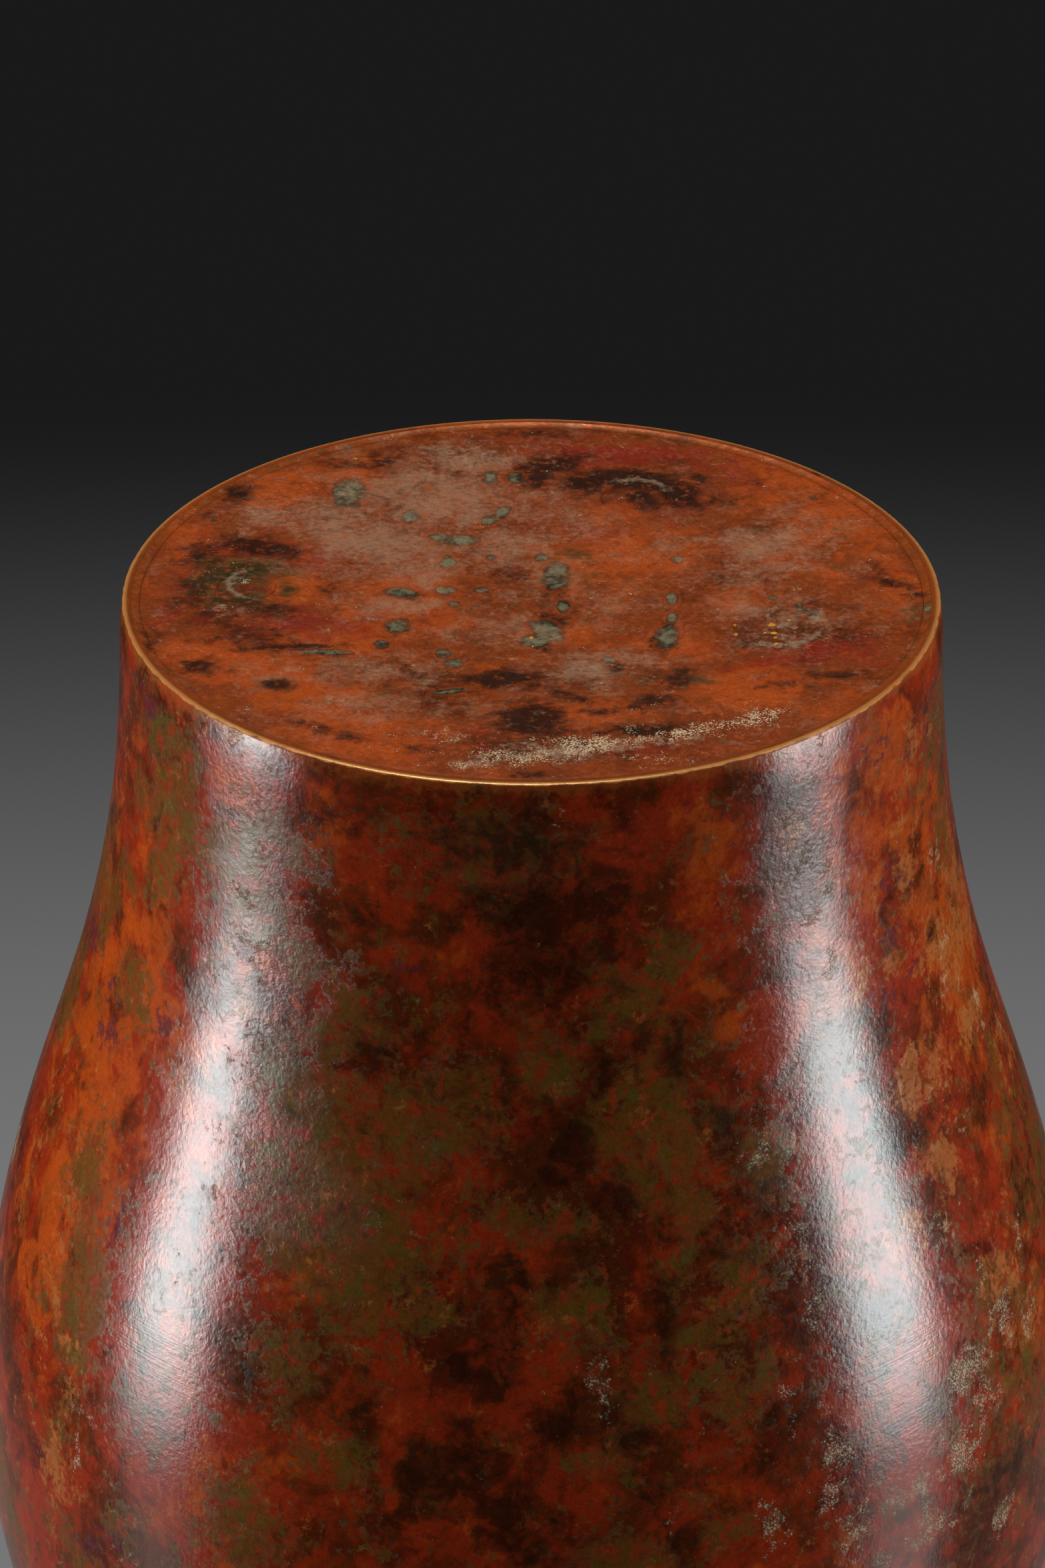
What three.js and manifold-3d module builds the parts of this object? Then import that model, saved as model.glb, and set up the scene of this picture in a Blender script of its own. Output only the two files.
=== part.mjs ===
// A cast bronze vase of baluster form, standing on its foot.
// The body is one thin-walled casting, open at the mouth and below. It is drawn as three bands that meet
// face to face at the belly and at the neck. A dished base plate is set into a seat in the foot and sealed
// by a ring of solder. Round plugs close the holes in the plate and in the lower wall through which the
// casting core was pinned, each riveted over on the inside.
// Millimetres, +Z up, origin at the centre of the plane that the foot rests on.

import * as THREE from 'three';
import { mergeVertices } from 'three/addons/utils/BufferGeometryUtils.js';
import Module from 'manifold-3d';

const wasm = await Module();
wasm.setup();

// Outline of the body. The pulls are the lengths of the tangents that shape its three curves.
const footRadius = 57;
const footPull = 67;
const bellyRadius = 79.7;
const bellyHeight = 131;
const bellyPullDown = 56.5;
const bellyPullUp = 62;
const shoulderHeight = 80;
const neckRadius = 31;
const neckPullDown = 33;
const neckPullUp = 13;
const neckLength = 33;
const mouthFlare = 11;
const mouthPullOut = 8;
const mouthPullDown = 5;
const wall = 2.8;

// Foot: its worn outer edge, the flat ring that it stands on and the ledge that the plate seats against
const footEdge = 0.5;
const footRing = 1.7;
const ledgeWidth = 2.2;
const ledgeThickness = 2;
const ledgeSlope = 2.5;

// Base plate: its thickness, how far it lies above the foot's plane and how it is dished
const plateThickness = 2.4;
const plateRecess = 0.45;
const plateMargin = 5;
const dishDepth = 1.4;

// Solder between the plate's edge and the foot
const seamWidth = 0.8;

// Plugs: how far a base plug stands proud of the plate, and the riveted head inside
const plugMound = 0.3;
const moundShoulder = { radiusShare: 0.5, heightShare: 0.75 };
const plugTaper = 0.3;
const rivetOverhang = 1.2;
const rivetThickness = 1;

// Clearance that pieces keep where they meet
const gap = 0.3;

// Base plugs: shank radius, clear space from the head to the ledge, and turn about the axis in degrees
const basePlugs = [
  { name: 'base_plug_back', shank: 4.6, fromLedge: 11.2, turn: 114.7 },
  { name: 'base_plug_front', shank: 3.8, fromLedge: 0.5, turn: 263.8 },
  { name: 'base_plug_right', shank: 4, fromLedge: 6.9, turn: 4.3 },
  { name: 'base_plug_left', shank: 6.2, fromLedge: 9, turn: 195.6 },
];

// Wall plugs: shank radius, height of the centre and turn about the axis in degrees
const wallPlugs = [
  { name: 'wall_plug_front_left', shank: 4.6, height: 47, turn: 214.5 },
  { name: 'wall_plug_front_right', shank: 3.2, height: 38.5, turn: 303 },
  { name: 'wall_plug_back_right', shank: 3.8, height: 43, turn: 34 },
  { name: 'wall_plug_back_left', shank: 3.8, height: 43, turn: 123.5 },
];

// Fineness of the faceted surfaces
const bodySegments = 56;
const plateSegments = 40;
const plugSegments = 16;
const dishSteps = 6;
const lipSteps = 4;

// Limits of the working: vertices nearer than this are one, and where a search along a curve ends
const weldDistance = 1e-4;
const searchEnd = 1e-6;

// Places worked out from the sizes
const neckHeight = bellyHeight + shoulderHeight;
const mouthHeight = neckHeight + neckLength;
const seatRadius = footRadius - footRing;
const plateRadius = seatRadius - gap - seamWidth - gap;
const dishRadius = plateRadius - plateMargin;
const seatDepth = plateRecess + plateThickness + gap;
const ledgeRadius = plateRadius - ledgeWidth;
const ledgeTop = seatDepth + ledgeThickness;

// The wall's outer line as three cubics: foot to belly, belly to neck, neck to mouth
const footPoint = new THREE.Vector2(footRadius, footEdge);
const bellyPoint = new THREE.Vector2(bellyRadius, bellyHeight);
const neckPoint = new THREE.Vector2(neckRadius, neckHeight);
const mouthPoint = new THREE.Vector2(neckRadius + mouthFlare, mouthHeight);
const wallCurves = [
  { steps: 8, curve: cubic(footPoint, up(footPull), up(bellyPullDown), bellyPoint) },
  { steps: 11, curve: cubic(bellyPoint, up(bellyPullUp), up(neckPullDown), neckPoint) },
  {
    steps: 5,
    curve: cubic(neckPoint, up(neckPullUp), new THREE.Vector2(mouthPullOut, mouthPullDown), mouthPoint),
  },
];

/** An upright tangent of the given length. */
function up(length) {
  return new THREE.Vector2(0, length);
}

/** A cubic from start to end, leaving along startPull and arriving along endPull. */
function cubic(start, startPull, endPull, end) {
  return new THREE.CubicBezierCurve(start, start.clone().add(startPull), end.clone().sub(endPull), end);
}

/** The wall's line from foot to mouth, moved inwards by the given depth square to itself. */
function wallLine(depth) {
  const line = [];
  for (const { steps, curve } of wallCurves) {
    for (let step = line.length ? 1 : 0; step <= steps; step += 1) {
      const point = curve.getPoint(step / steps);
      const along = curve.getTangent(step / steps);
      line.push(new THREE.Vector2(point.x - depth * along.y, point.y + depth * along.x));
    }
  }
  return line;
}

/** The half round that joins the wall's outer line to its inner line at the mouth. */
function lipLine(outerEnd, innerEnd) {
  const centre = outerEnd.clone().add(innerEnd).multiplyScalar(0.5);
  const outwards = outerEnd.clone().sub(centre);
  const upwards = new THREE.Vector2(-outwards.y, outwards.x);
  const line = [];
  for (let step = 1; step < lipSteps; step += 1) {
    const angle = (Math.PI * step) / lipSteps;
    const point = centre.clone().addScaledVector(outwards, Math.cos(angle));
    line.push(point.addScaledVector(upwards, Math.sin(angle)));
  }
  return line;
}

/** Height of the base plate's underside at a distance from the axis. */
function plateUnderside(radius) {
  const share = Math.min(radius / dishRadius, 1);
  return plateRecess + dishDepth * (1 - share * share) ** 2;
}

/** A closed solid made by turning a profile of (radius, height) points about the vertical axis. */
function turned(points, segments) {
  return solidFrom(new THREE.LatheGeometry(points, segments).rotateX(Math.PI / 2));
}

/** A geometry's closed solid, with its shared vertices merged and its faces pointing out. */
function solidFrom(geometry) {
  geometry.deleteAttribute('normal');
  geometry.deleteAttribute('uv');
  const merged = mergeVertices(geometry, weldDistance);
  const position = merged.attributes.position;
  const corners = [];
  let volume = 0;
  for (let start = 0; start < merged.index.count; start += 3) {
    const face = [0, 1, 2].map((corner) => merged.index.getX(start + corner));
    if (new Set(face).size === 3) {
      const [a, b, c] = face.map((index) => new THREE.Vector3().fromBufferAttribute(position, index));
      volume += a.dot(b.cross(c));
      corners.push(face);
    }
  }
  const outward = volume > 0 ? corners : corners.map(([a, b, c]) => [a, c, b]);
  const triVerts = new Uint32Array(outward.flat());
  const vertProperties = new Float32Array(position.array);
  return new wasm.Manifold(new wasm.Mesh({ numProp: 3, vertProperties, triVerts }));
}

/** A named piece of the vase from its solid and finish. */
function piece(name, solid, finish) {
  const { vertProperties, triVerts } = solid.getMesh();
  const geometry = new THREE.BufferGeometry();
  geometry.setAttribute('position', new THREE.BufferAttribute(vertProperties, 3));
  geometry.setIndex(new THREE.BufferAttribute(triVerts, 1));
  geometry.computeVertexNormals();
  const mesh = new THREE.Mesh(geometry, new THREE.MeshStandardMaterial(finish));
  mesh.name = name;
  return mesh;
}

/** The solid inside the wall's line at a depth, closed across the mouth and at the foot. */
function filledBody(depth) {
  const line = wallLine(depth);
  const bottom = new THREE.Vector2(0, line[0].y);
  const top = new THREE.Vector2(0, line.at(-1).y);
  return turned([bottom, ...line, top], bodySegments);
}

/** The cast body: foot ring, seat and ledge for the plate, wall and rounded lip. */
function bodyCasting() {
  const outer = wallLine(0);
  const inner = wallLine(wall);
  const wornMiddle = footEdge * (1 - Math.SQRT1_2);
  const start = new THREE.Vector2(seatRadius, 0);
  return turned([
    start,
    new THREE.Vector2(footRadius - footEdge, 0),
    new THREE.Vector2(footRadius - wornMiddle, wornMiddle),
    ...outer,
    ...lipLine(outer.at(-1), inner.at(-1)),
    ...inner.filter((point) => point.y > ledgeTop + ledgeSlope).reverse(),
    new THREE.Vector2(ledgeRadius, ledgeTop),
    new THREE.Vector2(ledgeRadius, seatDepth),
    new THREE.Vector2(seatRadius, seatDepth),
    start,
  ], bodySegments);
}

/** The casting as bands that meet face to face: foot to belly, belly to neck, and neck to mouth. */
function castingBands(casting) {
  const [aboveBelly, lower] = casting.splitByPlane([0, 0, 1], bellyHeight);
  const [neck, shoulder] = aboveBelly.splitByPlane([0, 0, 1], neckHeight);
  return { body_lower: lower, body_shoulder: shoulder, body_neck: neck };
}

/** The dished base plate, with a flat margin where it seats against the ledge. */
function platePressing() {
  const under = [];
  for (let step = 0; step <= dishSteps; step += 1) {
    const radius = (dishRadius * step) / dishSteps;
    under.push(new THREE.Vector2(radius, plateUnderside(radius)));
  }
  under.push(new THREE.Vector2(plateRadius, plateRecess));
  const upper = under.map((point) => new THREE.Vector2(point.x, point.y + plateThickness)).reverse();
  return turned([...under, ...upper], plateSegments);
}

/** The ring of solder between the plate's edge and the wall of its seat. */
function seamRing() {
  const inside = plateRadius + gap;
  const outside = inside + seamWidth;
  const top = plateRecess + plateThickness;
  const start = new THREE.Vector2(inside, plateRecess);
  return turned([
    start,
    new THREE.Vector2(outside, plateRecess),
    new THREE.Vector2(outside, top),
    new THREE.Vector2(inside, top),
    start,
  ], bodySegments);
}

/** Radius of a plug's riveted head. */
function headRadius(plug) {
  return plug.shank + rivetOverhang;
}

/** Distance of a base plug's centre from the axis. */
function fromAxis(plug) {
  return ledgeRadius - plug.fromLedge - headRadius(plug);
}

/** Moves a solid made on the axis out to a base plug's place in the plate. */
function atBasePlug(solid, plug) {
  const turn = THREE.MathUtils.degToRad(plug.turn);
  return solid.translate([fromAxis(plug) * Math.cos(turn), fromAxis(plug) * Math.sin(turn), 0]);
}

/** The hole through the plate for a base plug. */
function basePlugHole(plug) {
  const radius = plug.shank + gap;
  const top = plateRecess + dishDepth + plateThickness + gap;
  const hole = turned([
    new THREE.Vector2(0, 0),
    new THREE.Vector2(radius, 0),
    new THREE.Vector2(radius, top),
    new THREE.Vector2(0, top),
  ], plugSegments);
  return atBasePlug(hole, plug);
}

/** A base plug: a low mound below, a shank through the plate and a riveted head above it. */
function basePlug(plug) {
  const head = headRadius(plug);
  const face = plateUnderside(fromAxis(plug));
  const headFoot = plateUnderside(Math.max(fromAxis(plug) - head, 0)) + plateThickness + gap;
  const rivet = turned([
    new THREE.Vector2(0, face - plugMound),
    new THREE.Vector2(plug.shank * moundShoulder.radiusShare, face - plugMound * moundShoulder.heightShare),
    new THREE.Vector2(plug.shank, face),
    new THREE.Vector2(plug.shank, headFoot),
    new THREE.Vector2(head, headFoot),
    new THREE.Vector2(plug.shank, headFoot + rivetThickness),
    new THREE.Vector2(0, headFoot + rivetThickness),
  ], plugSegments);
  return atBasePlug(rivet, plug);
}

/** The outer wall's point and upward direction at a height, found by halving on the curve that holds it. */
function wallAt(height) {
  const { curve } = wallCurves[height < bellyHeight ? 0 : 1];
  let low = 0;
  let high = 1;
  while (high - low > searchEnd) {
    const middle = (low + high) / 2;
    if (curve.getPoint(middle).y < height) low = middle;
    else high = middle;
  }
  return { point: curve.getPoint(low), along: curve.getTangent(low) };
}

/** Turns a solid that points out along +Z to square to the wall at a wall plug, and moves it there. */
function atWallPlug(solid, plug) {
  const { point, along } = wallAt(plug.height);
  const lean = THREE.MathUtils.radToDeg(Math.atan2(along.y, -along.x));
  return solid.rotate([0, lean, 0]).translate([point.x, 0, point.y]).rotate([0, 0, plug.turn]);
}

/** The hole through the wall for a wall plug. */
function wallPlugHole(plug) {
  const radius = plug.shank + gap;
  const hole = turned([
    new THREE.Vector2(0, -2 * wall),
    new THREE.Vector2(radius, -2 * wall),
    new THREE.Vector2(radius, wall),
    new THREE.Vector2(0, wall),
  ], plugSegments);
  return atWallPlug(hole, plug);
}

/** A wall plug: a tapered shank, dressed flush with the wall, and a riveted head on the inside. */
function wallPlug(plug, envelope, hollow) {
  const head = headRadius(plug);
  const headBack = -(wall + gap + rivetThickness);
  const narrow = plug.shank - plugTaper;
  const shank = turned([
    new THREE.Vector2(0, headBack),
    new THREE.Vector2(narrow, headBack),
    new THREE.Vector2(plug.shank, 0),
    new THREE.Vector2(plug.shank, wall),
    new THREE.Vector2(0, wall),
  ], plugSegments);
  const rivet = turned([
    new THREE.Vector2(0, headBack),
    new THREE.Vector2(narrow, headBack),
    new THREE.Vector2(head, headBack + rivetThickness / 2),
    new THREE.Vector2(head, 0),
    new THREE.Vector2(0, 0),
  ], plugSegments);
  const dressedShank = atWallPlug(shank, plug).intersect(envelope);
  return dressedShank.add(atWallPlug(rivet, plug).intersect(hollow));
}

const finishes = {
  body: { color: 0x8c3a20, roughness: 0.34, metalness: 0.6 },
  plate: { color: 0x96401f, roughness: 0.42, metalness: 0.6 },
  seam: { color: 0x9a7a2e, roughness: 0.35, metalness: 0.9 },
  basePlug: { color: 0x5e5236, roughness: 0.5, metalness: 0.6 },
  wallPlug: { color: 0x5a3322, roughness: 0.45, metalness: 0.6 },
};

const vase = new THREE.Group();
const envelope = filledBody(0);
const hollow = filledBody(wall + gap);

let body = bodyCasting();
for (const plug of wallPlugs) {
  body = body.subtract(wallPlugHole(plug));
  vase.add(piece(plug.name, wallPlug(plug, envelope, hollow), finishes.wallPlug));
}
for (const [name, band] of Object.entries(castingBands(body))) {
  vase.add(piece(name, band, finishes.body));
}

let plate = platePressing();
for (const plug of basePlugs) {
  plate = plate.subtract(basePlugHole(plug));
  vase.add(piece(plug.name, basePlug(plug), finishes.basePlug));
}
vase.add(piece('base_plate', plate, finishes.plate));
vase.add(piece('base_solder_ring', seamRing(), finishes.seam));

export default vase;
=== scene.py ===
"""Looks of a cast bronze vase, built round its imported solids.

The vase stands upright on z = 0 with its axis on z. The photograph shows it upside down, from slightly
above its base, so the main camera looks up at it from below the floor and is turned half round.
Sizes in the classes are millimetres and meshes are metres. Places on the wall are given as they lie in
the photograph: a turn in degrees from the front, positive to the photograph's right, and a height above
the foot. Places on the base are millimetres across and back in the photograph.
"""

import logging
import math
from dataclasses import dataclass, field, replace
from enum import Enum

import bpy
import numpy as np
from mathutils import Matrix, Vector

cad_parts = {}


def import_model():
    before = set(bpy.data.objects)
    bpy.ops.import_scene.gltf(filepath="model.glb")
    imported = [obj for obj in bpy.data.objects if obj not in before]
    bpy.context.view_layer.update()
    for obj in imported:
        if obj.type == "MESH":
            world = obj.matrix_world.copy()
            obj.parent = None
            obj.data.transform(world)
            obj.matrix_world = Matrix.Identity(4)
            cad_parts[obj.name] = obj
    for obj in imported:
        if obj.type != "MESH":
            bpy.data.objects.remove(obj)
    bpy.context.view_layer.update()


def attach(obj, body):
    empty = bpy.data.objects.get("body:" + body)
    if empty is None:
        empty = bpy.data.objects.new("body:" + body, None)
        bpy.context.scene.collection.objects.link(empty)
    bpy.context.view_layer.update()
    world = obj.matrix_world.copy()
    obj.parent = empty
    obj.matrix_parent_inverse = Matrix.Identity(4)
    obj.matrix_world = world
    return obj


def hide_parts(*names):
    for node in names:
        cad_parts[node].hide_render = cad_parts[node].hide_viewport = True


MM = 0.001
LOG = logging.getLogger("vase")

Array = np.ndarray
Socket = bpy.types.NodeSocket
Triple = tuple[float, float, float]
Colour = Triple
EVEN: Triple = (1.0, 1.0, 1.0)
RIM_START = 48.0
RIM_WIDTH = 8.0


# Outline


@dataclass(frozen=True)
class Cubic:
    """A cubic curve in the (radius, height) plane, in millimetres."""

    start: tuple[float, float]
    start_pull: tuple[float, float]
    end_pull: tuple[float, float]
    end: tuple[float, float]

    def points(self, count: int) -> Array:
        """Points at even parameters: the Bernstein sum of the ends and the ends moved by their pulls.

        Args:
            count: Number of points, both ends included.

        Returns:
            A (count, 2) array.
        """
        t = np.linspace(0.0, 1.0, count)[:, None]
        first = np.array(self.start)
        last = np.array(self.end)
        second = first + np.array(self.start_pull)
        third = last - np.array(self.end_pull)
        near = (1 - t) ** 3 * first + 3 * (1 - t) ** 2 * t * second
        return near + 3 * (1 - t) * t**2 * third + t**3 * last


@dataclass(frozen=True)
class WallOutline:
    """The wall's outer line from the foot's worn edge to the lip, with its length along the wall."""

    foot_radius: float = 57.0
    foot_pull: float = 67.0
    belly_radius: float = 79.7
    belly_height: float = 131.0
    belly_pull_down: float = 56.5
    belly_pull_up: float = 62.0
    shoulder_height: float = 80.0
    neck_radius: float = 31.0
    neck_pull_down: float = 33.0
    neck_pull_up: float = 13.0
    neck_length: float = 33.0
    mouth_flare: float = 11.0
    mouth_pull_out: float = 8.0
    mouth_pull_down: float = 5.0
    foot_edge: float = 0.5
    samples: int = 1200

    def line(self) -> Array:
        """The three curves joined: foot to belly, belly to neck, neck to mouth.

        Returns:
            An (n, 2) array of (radius, height).
        """
        foot = (self.foot_radius, self.foot_edge)
        belly = (self.belly_radius, self.belly_height)
        neck_height = self.belly_height + self.shoulder_height
        neck = (self.neck_radius, neck_height)
        mouth = (self.neck_radius + self.mouth_flare, neck_height + self.neck_length)
        lower = Cubic(foot, (0, self.foot_pull), (0, self.belly_pull_down), belly)
        upper = Cubic(belly, (0, self.belly_pull_up), (0, self.neck_pull_down), neck)
        flare = Cubic(neck, (0, self.neck_pull_up), (self.mouth_pull_out, self.mouth_pull_down), mouth)
        parts = [lower.points(self.samples), upper.points(self.samples)[1:], flare.points(self.samples)[1:]]
        return np.concatenate(parts)

    def travelled(self) -> Array:
        """Length along the line at each of its points: the running sum of the steps between them."""
        steps = np.linalg.norm(np.diff(self.line(), axis=0), axis=1)
        return np.concatenate([[0.0], np.cumsum(steps)])

    def at(self, along: Array) -> tuple[Array, Array]:
        """Points and outward normals at lengths along the wall, read off the sampled line.

        Args:
            along: Lengths from the foot, in millimetres.

        Returns:
            Arrays of (radius, height) and of the normal in the same plane.
        """
        line = self.line()
        travelled = self.travelled()
        slope = np.gradient(line, travelled, axis=0)
        point = np.stack([np.interp(along, travelled, line[:, k]) for k in (0, 1)], axis=-1)
        ahead = np.stack([np.interp(along, travelled, slope[:, k]) for k in (0, 1)], axis=-1)
        ahead /= np.linalg.norm(ahead, axis=-1, keepdims=True)
        return point, np.stack([ahead[..., 1], -ahead[..., 0]], axis=-1)

    def along_at(self, height: float) -> float:
        """Length along the wall at a height."""
        return float(np.interp(height, self.line()[:, 1], self.travelled()))


@dataclass(frozen=True)
class PlateForm:
    """The base plate's underside: a flat margin round a shallow bowl."""

    radius: float = 54.15
    recess: float = 0.45
    thickness: float = 2.4
    dish_radius: float = 48.9
    dish_depth: float = 1.4

    def underside(self, radius: Array) -> Array:
        """Height of the underside: the recess plus the dish's depth times (1 - share squared) squared."""
        share = np.minimum(radius / self.dish_radius, 1.0)
        return self.recess + self.dish_depth * (1.0 - share**2) ** 2


# Uneven surfaces


@dataclass(frozen=True)
class Unevenness:
    """Slow, slight waves of a hand-finished surface: a sum of plane sine waves in all directions."""

    height: float
    shortest: float
    longest: float
    waves: int = 26
    seed: int = 4

    def at(self, points: Array) -> Array:
        """Height of the waves at points in space.

        Args:
            points: An (n, 3) array in millimetres.

        Returns:
            An (n,) array in millimetres.
        """
        random = np.random.default_rng(self.seed)
        ways = random.normal(size=(self.waves, 3))
        ways /= np.linalg.norm(ways, axis=1, keepdims=True)
        lengths = self.shortest * (self.longest / self.shortest) ** random.random(self.waves)
        phases = random.random(self.waves) * math.tau
        swing = np.sin(points @ (ways / lengths[:, None]).T * math.tau + phases)
        share = (lengths / self.longest) / np.sqrt(self.waves / 2.0)
        return self.height * (swing * share).sum(axis=1)


# Patches of the patina, and of painted sheen, highlights and glints


class Tone(Enum):
    """What a patch of the patina, or of the painted light on it, is made of. The value is the name of its
    vertex attribute.
    """

    WARM = "warm"
    OLIVE = "olive"
    DARK = "dark"
    PLUM = "plum"
    AMBER = "amber"
    CREAM = "cream"
    # Fine pale specks. Along the base's front edge they are painted glints.
    BLOOM = "bloom_and_glints"
    ROUGH = "rough"
    # A broad painted reflection: a veil of sheen on the base.
    PAINTED_SHEEN = "painted_sheen"
    CRIMSON = "crimson"
    GREY_GREEN = "grey_green"
    GOLD = "gold"
    # A slight raised crescent round a plug, with a painted highlight along it.
    RIDGE_HIGHLIGHT = "ridge_highlight"


@dataclass(frozen=True)
class Patch:
    """A soft-edged oval of one tone. Its strength is one half of its peak at the given half sizes."""

    across: float
    along: float
    half_across: float
    half_along: float
    peak: float = 1.0
    lean: float = 0.0


def ovals(*rows: tuple[float, ...]) -> tuple[Patch, ...]:
    """Patches from rows of (across, along, half across, half along, peak, lean)."""
    return tuple(Patch(*row) for row in rows)


def arc(
    across: float, along: float, radius: float, start: float, end: float, half_width: float, peak: float
) -> tuple[Patch, ...]:
    """Small ovals that follow part of a circle, fading at both ends.

    Args:
        across: Place of the circle's centre across.
        along: Place of the circle's centre along.
        radius: Radius of the circle.
        start: First angle, in degrees from the right, anticlockwise.
        end: Last angle.
        half_width: Half the width of the arc.
        peak: Strength at the arc's middle.

    Returns:
        The ovals, in order.
    """
    count = max(3, math.ceil(math.radians(end - start) * radius / half_width))
    step = (end - start) / count
    half_length = math.radians(step) * radius * 0.8
    found = []
    for index in range(count + 1):
        angle = math.radians(start + step * index)
        strength = peak * math.sin(math.pi * (index + 0.7) / (count + 1.4)) ** 0.5
        place = (across + radius * math.cos(angle), along + radius * math.sin(angle))
        found.append(Patch(*place, half_length, half_width, strength, math.degrees(angle) + 90.0))
    return tuple(found)


@dataclass(frozen=True)
class PatchMap:
    """The patches of each tone on one surface."""

    patches: dict[Tone, tuple[Patch, ...]]

    def strength(self, tone: Tone, across: Array, along: Array, reach: Array | None = None) -> Array:
        """Strength of a tone: the highest of its patches, each a bell that halves at its half sizes.

        Args:
            tone: The tone to work out.
            across: Places across, in degrees where a reach is given and in millimetres otherwise.
            along: Places along, in millimetres.
            reach: Distance of each place from the axis, for places that are turns about it.

        Returns:
            An (n,) array from 0 up to the highest peak.
        """
        total = np.zeros(len(along))
        for patch in self.patches.get(tone, ()):
            gap = across - patch.across
            if reach is not None:
                gap = np.radians((gap + 180.0) % 360.0 - 180.0) * reach
            rise = along - patch.along
            lean = math.radians(patch.lean)
            first = (gap * math.cos(lean) + rise * math.sin(lean)) / patch.half_across
            second = (rise * math.cos(lean) - gap * math.sin(lean)) / patch.half_along
            bell = patch.peak * np.exp2(-np.minimum(first**2 + second**2, 40.0))
            total = np.maximum(total, bell)
        return total


@dataclass(frozen=True)
class Scatter:
    """Patches scattered where the photograph doesn't reach, of sizes and strengths between two limits."""

    tone: Tone
    count: int
    smallest: float
    largest: float
    least: float
    most: float
    heights: tuple[float, float] = (4.0, 244.0)
    seen_turn: float = 84.0
    seen_height: float = 124.0

    def patches(self, random: np.random.Generator) -> tuple[Patch, ...]:
        """Patches on the far side of the wall, and all round it above the part in the photograph."""
        found = []
        while len(found) < self.count:
            turn = random.uniform(-180.0, 180.0)
            height = random.uniform(*self.heights)
            size = self.smallest * (self.largest / self.smallest) ** random.random()
            stretch = random.uniform(0.7, 1.4)
            peak = random.uniform(self.least, self.most)
            lean = random.uniform(-60.0, 60.0)
            if abs(turn) > self.seen_turn or height > self.seen_height:
                found.append(Patch(turn, height, size * stretch, size / stretch, peak, lean))
        return tuple(found)


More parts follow.
